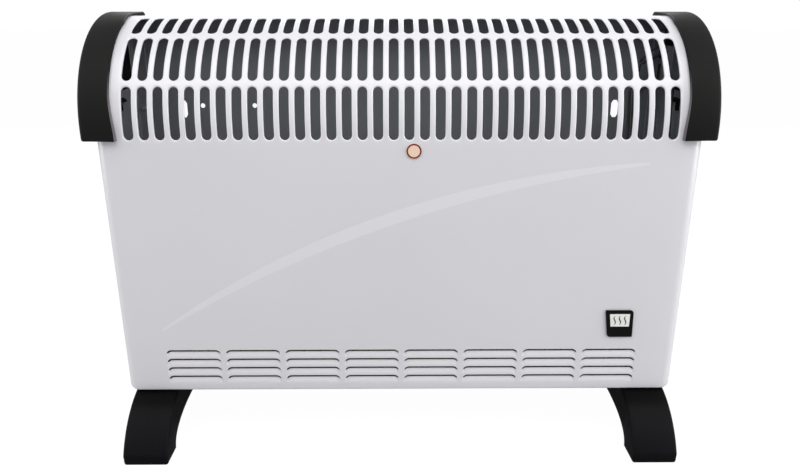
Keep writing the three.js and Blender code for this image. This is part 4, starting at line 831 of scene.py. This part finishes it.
# Profiles are radii and heights over the knob's underside, which is hollow round the nut.
KNOB_UNDERSIDE = WELL_FLOOR_X + GAP
KNOB_POINTER_TURN = radians(140)
KNOB_SWEEP = radians(280)
KNOB_BORE_TOP = 0.0058
KNOB_HOLLOW = ((0.0, KNOB_BORE_TOP), (0.0033, KNOB_BORE_TOP), (0.0033, 0.0033), (0.0088, 0.0033), (0.0088, 0))
KNOB_PROFILE = ((0.0158, 0), (0.0165, 0), (0.017, 0.0005), (0.017, 0.0016), (0.0166, 0.0021),
                (0.0160, 0.0023), (0.0136, 0.0025))
KNOB_GRIP_PROFILE = ((0.01300, 0.0029), (0.01285, 0.0038), (0.01255, 0.0056), (0.0121, 0.0061),
                     (0.0114, 0.0064), (0.0100, 0.0065), (0.0085, 0.0064), (0.0, 0.0063))
FLUTES = 24
FLUTED_ROWS = (1, 2, 3)
FLUTE_DEPTH = 0.0006
KNOB_TURN_STEPS = 192
POINTER_WIDTH = 0.003
POINTER_REACH = 0.0155
POINTER_FOOT = 0.0096
POINTER_SKIRT = 0.001
POINTER_TOP = 0.0066
POINTER_ROLL = 0.0006
LINE_HALF = 0.00045
LINE_ENDS = (0.004, 0.0145)
PRINT_PROUD = 0.00006
PRINT_ROLL = 0.00004
SCALE_MARKS = 7
SCALE_HEIGHTS = (0.00002, 0.0001)
SCALE_START = 0.0183
SCALE_SHORTEST = 0.0007
SCALE_GROWTH = 0.00028

# Local Z runs out of the well floor, and local Y is up when the knob stands at twelve o'clock.
TOWARDS_RIGHT = Matrix(((0, 0, 1, 0), (1, 0, 0, 0), (0, 1, 0, 0), (0, 0, 0, 1)))


def ring(place, radius, height, steps, flute=0.0):
    """A circle of points round the place's own Z, drawn in by the flutes where it has them."""
    points = []
    for turn in between(0, 2 * pi, steps)[:-1]:
        reach = radius - flute * (0.5 + 0.5 * cos(turn * FLUTES))
        points.append(place @ Vector((reach * cos(turn), reach * sin(turn), height)))
    return points


def turned(form, place, profile, steps):
    """A turned piece: its profile, as radii and heights, swept round."""
    form.grid([ring(place, radius, height, steps) for radius, height in profile], closed=True)


def slab(form, place, outline, low, high, roll, steps=3):
    """A flat piece on its outline, a list of points that faces the viewer, with a rolled upper edge."""
    middle = sum((Vector(point) for point in outline), Vector((0, 0))) / len(outline)

    def level(height, inset):
        points = []
        for point in outline:
            away = Vector(point) - middle
            shrunk = Vector([c - inset * (c > 0) + inset * (c < 0) for c in away])
            points.append(place @ Vector((*(middle + shrunk), height)))
        return points

    rows = [level(low, 0)]
    rows += [level(high - roll + along, inset) for inset, along in quarter_roll(roll, steps)]
    form.capped(rows)


def on_dial(x, turn):
    """A place on the knob's axis, x from the middle of the heater, with its Y turned to a mark."""
    return Matrix.Translation((x, *KNOB_CENTRE)) @ Matrix.Rotation(turn, 4, "X") @ TOWARDS_RIGHT


knob_form = Pressing()
knob_place = on_dial(KNOB_UNDERSIDE, 0)
knob_rings = [ring(knob_place, r, h, KNOB_TURN_STEPS) for r, h in KNOB_HOLLOW + KNOB_PROFILE]
for i, (r, h) in enumerate(KNOB_GRIP_PROFILE):
    knob_rings.append(ring(knob_place, r, h, KNOB_TURN_STEPS, FLUTE_DEPTH * (i in FLUTED_ROWS)))
knob_form.grid(knob_rings, closed=True)
pointer_place = on_dial(KNOB_UNDERSIDE, KNOB_POINTER_TURN)
for start, end, low in ((0.0, POINTER_FOOT, KNOB_BORE_TOP), (POINTER_FOOT, POINTER_REACH, POINTER_SKIRT)):
    pointer = window(-POINTER_WIDTH / 2, start, POINTER_WIDTH / 2, end)
    slab(knob_form, pointer_place, pointer, low, POINTER_TOP, POINTER_ROLL)


def white_ink(wires):
    return {"Base Color": blended(wires, grain(wires, 300), srgb(222, 222, 218), srgb(240, 240, 236))}


satin_black = mottled(((26, 27, 28), (33, 33, 34)), drift=25, roughness=(0.34, 0.14), wear=120)
knob_plastic = finish("knob_plastic", {"Specular IOR Level": 0.45}, satin_black)
print_white = finish("print_white", {"Roughness": 0.5}, white_ink)
knob = piece("fluted_knob", knob_form, [knob_plastic], body="knob")
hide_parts("thermostat_knob")

line_form = Pressing()
line = window(-LINE_HALF, LINE_ENDS[0], LINE_HALF, LINE_ENDS[1])
slab(line_form, pointer_place, line, POINTER_TOP - PRINT_PROUD, POINTER_TOP + PRINT_PROUD, PRINT_ROLL, 1)
pointer_line = piece("pointer_line", line_form, [print_white], body="knob")

# The printed scale grows from its first tick to its last.
scale_form = Pressing()
for i in range(SCALE_MARKS):
    place = on_dial(WELL_FLOOR_X, KNOB_POINTER_TURN - KNOB_SWEEP * i / (SCALE_MARKS - 1))
    mark = window(-LINE_HALF, SCALE_START, LINE_HALF, SCALE_START + SCALE_SHORTEST + SCALE_GROWTH * i)
    slab(scale_form, place, mark, *SCALE_HEIGHTS, PRINT_ROLL, 1)
scale = piece("knob_scale", scale_form, [print_white])

bright_steel = finish("bright_steel", {"Metallic": 1.0}, mottled(
    ((186, 188, 190), (208, 209, 211)), drift=80, roughness=(0.24, 0.2), wear=200))
for node in ("thermostat_body", "thermostat_nut", "thermostat_shaft"):
    dressed(node, bright_steel)

# ---- Rocker switches ----
# Two snap-in switches in glossy black plastic, one for each heating stage. Each rocker has a line
# for on and a ring for off printed in white.

ROCKER_PIVOT_X = WELL_FLOOR_X - GAP
ROCKER_TILT = radians(10)
ROCKER_FACE_SLOPE = 0.0013 / 0.007
ROCKER_MIDDLE = 0.0032
MARK_UP = 0.0037
ON_LINE = (-0.00025, -0.0012, 0.00025, 0.0012)
RING_SECTION = ((0.0008, 0), (0.0008, PRINT_PROUD), (0.0012, PRINT_PROUD), (0.0012, 0), (0.0008, 0))
RING_STEPS = 32

gloss_black = mottled(((17, 18, 19), (23, 23, 25)), drift=30, roughness=(0.14, 0.12), wear=60)
gloss_plastic = finish("gloss_plastic", {"Coat Weight": 0.2}, gloss_black)
for name, (y, z) in SWITCH_CENTRES.items():
    dressed(name + "_switch_housing", gloss_plastic)
    dressed(name + "_switch_rocker", gloss_plastic)
    tilt = Matrix.Translation((ROCKER_PIVOT_X, y, z)) @ Matrix.Rotation(ROCKER_TILT, 4, "Y")
    marks = Pressing()
    for up in (1, -1):
        out = ROCKER_MIDDLE + ROCKER_FACE_SLOPE * MARK_UP
        lean = Matrix.Rotation(up * atan(ROCKER_FACE_SLOPE), 4, "Y")
        place = tilt @ Matrix.Translation((out, 0, up * MARK_UP)) @ lean @ TOWARDS_RIGHT
        if up > 0:
            slab(marks, place, window(*ON_LINE), 0, PRINT_PROUD, PRINT_PROUD / 2, 1)
        else:
            turned(marks, place, RING_SECTION, RING_STEPS)
    printed = piece(name + "_rocker_marks", marks, [print_white], body=name + "_rocker")

# ---- Heating element ----
# Two mica boards with a flat resistance ribbon on each stand in notched zinc-plated brackets, and a
# bimetal cut-out on the right bracket watches the air over them.


def flaked(tones, flakes, roughness):
    """A surface of flakes or crystals, so many to the metre, each paler and duller at its edges."""
    least, change = roughness

    def coat(wires):
        sockets = {"Vector": place_on(wires), "Scale": flakes}
        flake = wires.node("ShaderNodeTexVoronoi", sockets=sockets, out="Distance")
        return {
            "Base Color": blended(wires, flake, *[srgb(*tone) for tone in tones]),
            "Roughness": least + change * flake,
        }

    return coat


mica_flakes = flaked(((150, 132, 98), (196, 178, 140)), flakes=260, roughness=(0.35, 0.3))
scaled_alloy = mottled(((98, 92, 86), (136, 128, 118)), drift=180, detail=4, roughness=(0.3, 0.2), wear=90)
zinc_crystals = flaked(((176, 180, 184), (206, 209, 212)), flakes=140, roughness=(0.32, 0.25))
mica = finish("mica", {}, mica_flakes)
heating_alloy = finish("heating_alloy", {"Metallic": 0.9}, scaled_alloy)
zinc_sheet = finish("zinc_sheet", {"Metallic": 0.85}, zinc_crystals)
for board in ("front", "rear"):
    dressed(board + "_mica_board", mica)
    dressed(board + "_heating_wire", heating_alloy)
for node in ("left_element_bracket", "centre_element_bracket", "right_element_bracket", "thermal_cutout"):
    dressed(node, zinc_sheet)

# ---- Heat shield ----
# An angle of galvanised sheet between the element and the rear panel, screwed to the bottom plate.

dressed("heat_shield", zinc_sheet)

# ---- Mains inlet and wiring ----
# A soft gland snaps into the rear panel and leads the cord in. A ceramic terminal block and leads in
# woven glass sleeves bring the mains to the switches, the thermostat and the boards.

gland_low, gland_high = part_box("cord_gland")
GLAND_STEPS = 48
GLAND_CRISP_FROM = 30
GLAND_BORE = 0.004
GLAND_FLANGE = (gland_high.x - gland_low.x) / 2
GLAND_FLANGE_THICKNESS = 0.003
GLAND_NECK = 0.0067
GLAND_LIP = (0.0085, 0.005)
GLAND_ROLL = 0.001
GLAND_DEPTH = gland_high.y - gland_low.y
GLAND_PROFILE = (
    (GLAND_BORE, 0), (GLAND_NECK, 0), GLAND_LIP, (GLAND_NECK, GLAND_LIP[1]),
    (GLAND_NECK, GLAND_DEPTH - GLAND_FLANGE_THICKNESS), (GLAND_FLANGE, GLAND_DEPTH - GLAND_FLANGE_THICKNESS),
    (GLAND_FLANGE, GLAND_DEPTH - GLAND_ROLL), (GLAND_FLANGE - GAP, GLAND_DEPTH - GAP),
    (GLAND_FLANGE - GLAND_ROLL, GLAND_DEPTH), (GLAND_BORE + GLAND_ROLL, GLAND_DEPTH),
    (GLAND_BORE, GLAND_DEPTH - GLAND_ROLL), (GLAND_BORE, 0))
TOWARDS_BACK = Matrix(((1, 0, 0, 0), (0, 0, 1, 0), (0, -1, 0, 0), (0, 0, 0, 1)))

gland_middle = (gland_low + gland_high) / 2
gland_place = Matrix.Translation((gland_middle.x, gland_low.y, gland_middle.z)) @ TOWARDS_BACK
gland_form = Pressing()
turned(gland_form, gland_place, GLAND_PROFILE, GLAND_STEPS)


def woven_glass(wires):
    sockets = {"Vector": place_on(wires), "Scale": 420.0, "Distortion": 2.0}
    weave = wires.node("ShaderNodeTexWave", sockets=sockets, out="Fac")
    return {
        "Base Color": blended(wires, weave, srgb(44, 45, 46), srgb(66, 66, 66)),
        "Normal": bumped(wires, weave, 0.3, 0.0002),
    }


soft_rubber = mottled(((24, 24, 25), (32, 32, 33)), drift=50, roughness=(0.6, 0.15), wear=200)
glazed = mottled(((226, 220, 202), (236, 231, 216)), drift=60, roughness=(0.25, 0.15), wear=90)
gland_rubber = finish("gland_rubber", {}, soft_rubber)
gland = piece("soft_gland", gland_form, [gland_rubber], smooth=GLAND_CRISP_FROM)
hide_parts("cord_gland")
dressed("terminal_block", finish("terminal_ceramic", {}, glazed))
lead_sleeve = finish("lead_sleeve", {"Roughness": 0.8}, woven_glass)
for node in ("upper_supply_lead", "thermostat_lead", "front_element_lead", "rear_element_lead"):
    dressed(node, lead_sleeve)

# ---- Feet ----
# Two black mouldings, each an arch on two pads with rounded edges all round. They are screwed to the
# bottom plate from below, with the heads deep in the arch.

foot_low, foot_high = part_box("right_foot")
FOOT_CRISP_FROM = 35
FOOT_MIDDLE_X = (foot_low.x + foot_high.x) / 2
FOOT_HALF_WIDTH = (foot_high.x - foot_low.x) / 2
FOOT_HALF_LENGTH = foot_high.y
FOOT_HEIGHT = foot_high.z
FOOT_TOP_HALF = 0.050
FOOT_NOSE = 0.009
FOOT_TOE_SETBACK = 0.001
FOOT_BULGE = 0.0073
FOOT_PAD = 0.027
ARCH_HEIGHT = 0.024
ARCH_SQUARENESS = 2.4
FOOT_ROLL = 0.0025
FOOT_TOE_ROLL = 0.0012
FOOT_TOE_STEPS = 4
FOOT_ARC_STEPS = 24
ARCH_STEPS = 28
FOOT_SCREW_Y = 0.025
SCREW_RECESS = ((0, 0), (0.0047, 0), (0.0047, 0.032), (0, 0.032))
SCREW_RECESS_STEPS = 48
# Painted shadow: the heights over which the foot's colour turns black under the body's edge.
PAINTED_SHADOW_FROM, PAINTED_SHADOW_TO = FOOT_HEIGHT - 0.010, FOOT_HEIGHT - 0.006
SHORTEST_STEP = 1e-7


def foot_outline():
    """The foot from the side: the arch, the toe, the nose, and the shoulder up to the body."""
    nose = Vector((-FOOT_HALF_LENGTH, FOOT_NOSE))
    shoulder = Vector((-FOOT_TOP_HALF, FOOT_HEIGHT))
    chord = (shoulder - nose).length
    radius = chord * chord / (8 * FOOT_BULGE) + FOOT_BULGE / 2
    along = (shoulder - nose).normalized()
    centre = (nose + shoulder) / 2 + Vector((-along.y, along.x)) * (FOOT_BULGE - radius)
    start = degrees((nose - centre).angle_signed(Vector((1, 0))))
    end = degrees((shoulder - centre).angle_signed(Vector((1, 0))))
    shoulder_arc = arc(*centre, radius, start, end, FOOT_ARC_STEPS)
    toe = -FOOT_HALF_LENGTH + FOOT_TOE_SETBACK
    half_arch = FOOT_HALF_LENGTH - FOOT_PAD
    arch = []
    for turn in between(0, pi / 2, ARCH_STEPS)[:-1]:
        y = -half_arch * cos(turn) ** (2 / ARCH_SQUARENESS)
        arch.append((y, ARCH_HEIGHT * sin(turn) ** (2 / ARCH_SQUARENESS)))
    toe_roll = arc(toe + FOOT_TOE_ROLL, FOOT_TOE_ROLL, FOOT_TOE_ROLL, 270, 180, FOOT_TOE_STEPS)
    front = [*reversed(arch), *toe_roll, *shoulder_arc]
    return front + [(-y, z) for y, z in reversed(front)]


def drawn_in(outline, inset):
    """The outline moved inwards, square to itself at every point, and by no more than twice the
    inset at a sharp corner."""
    moved = []
    for i, point in enumerate(outline):
        before = Vector(point) - Vector(outline[i - 1])
        after = Vector(outline[(i + 1) % len(outline)]) - Vector(point)
        if before.length < SHORTEST_STEP or after.length < SHORTEST_STEP:
            before = after = before if before.length > after.length else after
        first, second = before.normalized(), after.normalized()
        inward = Vector((first.y + second.y, -first.x - second.x)).normalized()
        square = max(inward.dot(Vector((first.y, -first.x))), 0.5)
        moved.append(tuple(Vector(point) + inward * inset / square))
    return moved


def rolled_slab(form, outline, low_x, high_x, roll):
    """A piece as thick as from one x to the other, with both its edges rolled."""
    rolls = quarter_roll(roll)
    stations = [(low_x + roll - along, inset) for inset, along in reversed(rolls)]
    stations += [(high_x - roll + along, inset) for inset, along in rolls]
    form.capped([at_x(x, drawn_in(outline, inset)) for x, inset in stations])


def cut_away(made, form):
    """Takes a closed form out of a piece."""
    cutter = piece(made.name + "_cutter", form, [], body=None)
    cut = made.modifiers.new("cut", "BOOLEAN")
    cut.operation = "DIFFERENCE"
    cut.solver = "MANIFOLD"
    cut.object = cutter
    settled(made)
    bpy.data.objects.remove(cutter)


def foot_black(wires):
    """The same plastic, with painted shadow close under the body, where the body's lower edge shades the
    foot.
    """
    coat = grained_black(wires, ((8, 7, 10), (13, 12, 14)))
    # Painted shadow: black base colour at the top of the foot, under the body
    under = ramp(wires, coordinate(wires, "Z"), PAINTED_SHADOW_FROM, PAINTED_SHADOW_TO)
    coat["Base Color"] = blended(wires, under, coat["Base Color"], srgb(0, 0, 0))
    return coat


foot_plastic = finish("foot_plastic", {"Specular IOR Level": 0.06}, foot_black)
for side, node in ((-1, "left_foot"), (1, "right_foot")):
    middle = side * FOOT_MIDDLE_X
    form = Pressing()
    rolled_slab(form, foot_outline(), middle - FOOT_HALF_WIDTH, middle + FOOT_HALF_WIDTH, FOOT_ROLL)
    foot = piece(node + "_moulding", form, [foot_plastic], smooth=FOOT_CRISP_FROM)
    for y in (-FOOT_SCREW_Y, FOOT_SCREW_Y):
        recess = Pressing()
        turned(recess, Matrix.Translation((middle, y, 0)), SCREW_RECESS, SCREW_RECESS_STEPS)
        cut_away(foot, recess)
    crisp(foot, FOOT_CRISP_FROM)
    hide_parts(node)

# ---- Trim ----
# A thin glossy black plate with a white field and three rising lines for warm air on it, and a round
# red and cream sticker, both glued to the front.

badge_low, badge_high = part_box("badge_plate")
BADGE_WIDTH, BADGE_THICKNESS, BADGE_HEIGHT = badge_high - badge_low
BADGE_ROLL = 0.0004
# Each corner's side, the angle its arc starts at, its radius and how far it leans
BADGE_CORNERS = ((1, 1, 0, 0.003, -0.0008), (-1, 1, 90, 0.0008, -0.0012), (-1, -1, 180, 0.003, 0.0018),
                 (1, -1, 270, 0.0008, 0))
BADGE_CORNER_STEPS = 8
FIELD_SIZE = (0.0176, 0.0124)
FIELD_UP = 0.0033
FIELD_LEAN = 0.0008
WARM_LINES = 3
WARM_PITCH = 0.0048
WARM_HEIGHT = 0.0088
WARM_SWING = 0.0008
WARM_WIDTH = 0.0011
WARM_TIP = 0.35
WARM_STEPS = 24
STICKER_RING = (0.0050, 0.0064)
STICKER_STEPS = 96
TRIM_CRISP_FROM = 30
TOWARDS_FRONT = Matrix(((1, 0, 0, 0), (0, 0, -1, 0), (0, 1, 0, 0), (0, 0, 0, 1)))


def glued_on(low, high):
    """The middle of a piece's back, with Z running out to the viewer."""
    return Matrix.Translation(((low.x + high.x) / 2, high.y, (low.z + high.z) / 2)) @ TOWARDS_FRONT


badge_place = glued_on(badge_low, badge_high)
badge_outline = []
for side_x, side_z, turn, radius, lean in BADGE_CORNERS:
    x, z = side_x * (BADGE_WIDTH / 2 - radius) + lean, side_z * (BADGE_HEIGHT / 2 - radius)
    badge_outline += arc(x, z, radius, turn, turn + 90, BADGE_CORNER_STEPS)
badge_edge = [(0, 0)] + [(inset, BADGE_THICKNESS - BADGE_ROLL + along)
                         for inset, along in quarter_roll(BADGE_ROLL)]
badge_form = Pressing()
badge_form.capped([[badge_place @ Vector((*point, height)) for point in drawn_in(badge_outline, inset)]
                   for inset, height in badge_edge])
badge_black = mottled(((8, 8, 9), (12, 12, 13)), drift=40, roughness=(0.3, 0.1), wear=60)
badge_gloss = finish("badge_gloss", {"Specular IOR Level": 0.1}, badge_black)
badge = piece("badge_moulding", badge_form, [badge_gloss], smooth=TRIM_CRISP_FROM)
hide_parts("badge_plate")

field_place = badge_place @ Matrix.Translation((0, FIELD_UP, BADGE_THICKNESS))
wide, tall = FIELD_SIZE[0] / 2, FIELD_SIZE[1] / 2
field_outline = [(wide, -tall), (wide, tall), (-wide - FIELD_LEAN, tall), (-wide + FIELD_LEAN, -tall)]
field_form = Pressing()
slab(field_form, field_place, field_outline, -PRINT_PROUD, PRINT_PROUD, PRINT_PROUD / 2, 1)
badge_field = piece("badge_field", field_form, [print_white])

warm_form = Pressing()
for x in spread(WARM_LINES, WARM_PITCH):
    rows = []
    for share in between(0, 1, WARM_STEPS):
        sway = x + WARM_SWING * sin(2 * pi * share)
        thin = WARM_WIDTH / 2 * (WARM_TIP + (1 - WARM_TIP) * sin(pi * share))
        up = WARM_HEIGHT * (share - 0.5)
        section = [(-thin, 0), (-thin, 2 * PRINT_PROUD), (thin, 2 * PRINT_PROUD), (thin, 0)]
        rows.append([field_place @ Vector((sway + dx, up, out)) for dx, out in section])
    warm_form.capped(rows)
warm_lines = piece("warm_air_lines", warm_form, [badge_gloss])


def ringed(wires):
    """Cream paper with one dark red ring near its edge."""
    sockets = {0: place_on(wires), 1: (sticker_low + sticker_high) / 2}
    reach = wires.node("ShaderNodeVectorMath", {"operation": "DISTANCE"}, sockets, out="Value")
    inside, outside = STICKER_RING
    on_ring = wires.maths("GREATER_THAN", reach, inside) * wires.maths("LESS_THAN", reach, outside)
    return {
        "Base Color": blended(wires, on_ring, srgb(232, 205, 182), srgb(112, 4, 18)),
        "Roughness": 0.45 + 0.1 * grain(wires, 500),
    }


sticker_low, sticker_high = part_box("ring_sticker")
radius, thickness = (sticker_high.x - sticker_low.x) / 2, sticker_high.y - sticker_low.y
sticker_profile = [(0, 0), (radius, 0), (radius, thickness), (0, thickness)]
sticker_form = Pressing()
turned(sticker_form, glued_on(sticker_low, sticker_high), sticker_profile, STICKER_STEPS)
sticker_print = finish("sticker_print", {}, ringed)
sticker = piece("round_sticker", sticker_form, [sticker_print], smooth=TRIM_CRISP_FROM)
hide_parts("ring_sticker")

# ---- Screws ----
# Zinc-plated pan head screws with cross recesses. Their threads are rolled, and cut their own way
# into the sheet.

THREAD_PITCH = 0.0013
THREAD_DEPTH = 0.00028
THREAD_SHARES = ((0.1, THREAD_DEPTH), (0.5, 0), (0.9, THREAD_DEPTH))
RIM_SHARE = 0.35
DOME_FLATNESS = 0.6
DOME_STEPS = 6
HEAD_STEPS = 32
CROSS_WIDTH = 0.0009
CROSS_SHARE = 0.55
CROSS_DEPTH = 0.0011
SCREW_CRISP_FROM = 35
# Across the head, the head's height, across the shank, and the way that the head faces
SCREW_KINDS = {
    "rear_screw": (0.0070, 0.0022, 0.0035, TOWARDS_BACK),
    "cap_screw": (0.0070, 0.0022, 0.0035, TOWARDS_BACK),
    "foot_screw": (0.0080, 0.0026, 0.0040, Matrix.Rotation(pi, 4, "X")),
    "bracket_screw": (0.0060, 0.0020, 0.0030, Matrix()),
    "shield_screw": (0.0060, 0.0020, 0.0030, Matrix()),
}

zinc_plating = mottled(((196, 197, 196), (214, 214, 212)), drift=500, roughness=(0.26, 0.16), wear=900)
screw_zinc = finish("screw_zinc", {"Metallic": 1.0}, zinc_plating)


def pan_head_screw(head, head_height, shank, length):
    """A screw along Z, domed and with a cross recess, whose head stands on the height zero."""
    root = shank / 2 - THREAD_DEPTH
    profile = [(0, -length), (root, -length)]
    for i in range(int(length / THREAD_PITCH)):
        z = -length + THREAD_PITCH * i
        profile += [(shank / 2 - depth, z + THREAD_PITCH * share) for share, depth in THREAD_SHARES]
    profile += [(root, 0), (head / 2, 0), (head / 2, RIM_SHARE * head_height)]
    for turn in between(0, pi / 2, DOME_STEPS)[1:]:
        height = head_height * (RIM_SHARE + (1 - RIM_SHARE) * sin(turn))
        profile.append((head / 2 * cos(turn) ** DOME_FLATNESS, height))
    form = Pressing()
    turned(form, Matrix(), profile, HEAD_STEPS)
    made = piece("screw_pattern", form, [screw_zinc], body=None, smooth=SCREW_CRISP_FROM)
    reach = head * CROSS_SHARE
    for across, along in ((CROSS_WIDTH, reach), (reach, CROSS_WIDTH)):
        arm = Pressing()
        arm.capped([at_z(z, window(-across / 2, -along / 2, across / 2, along / 2))
                    for z in (head_height - CROSS_DEPTH, head_height + CROSS_DEPTH)])
        cut_away(made, arm)
    crisp(made, SCREW_CRISP_FROM)
    return made


patterns = {}
for node in sorted(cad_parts):
    kind = next((kind for kind in SCREW_KINDS if kind in node), None)
    if kind is None:
        continue
    head, head_height, shank, facing = SCREW_KINDS[kind]
    low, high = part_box(node)
    outward = facing.to_3x3() @ Vector((0, 0, 1))
    span = abs((high - low).dot(outward))
    pattern = (kind, round(span, 5))
    if pattern not in patterns:
        patterns[pattern] = pan_head_screw(head, head_height, shank, span - head_height)
    seat = (low + high) / 2 + outward * (span / 2 - head_height)
    mesh = patterns[pattern].data.copy()
    mesh.transform(Matrix.Translation(seat) @ facing)
    made = bpy.data.objects.new("pan_head_" + node, mesh)
    bpy.context.scene.collection.objects.link(made)
    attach(made, "heater_body")
    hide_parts(node)
for pattern in patterns.values():
    bpy.data.objects.remove(pattern)
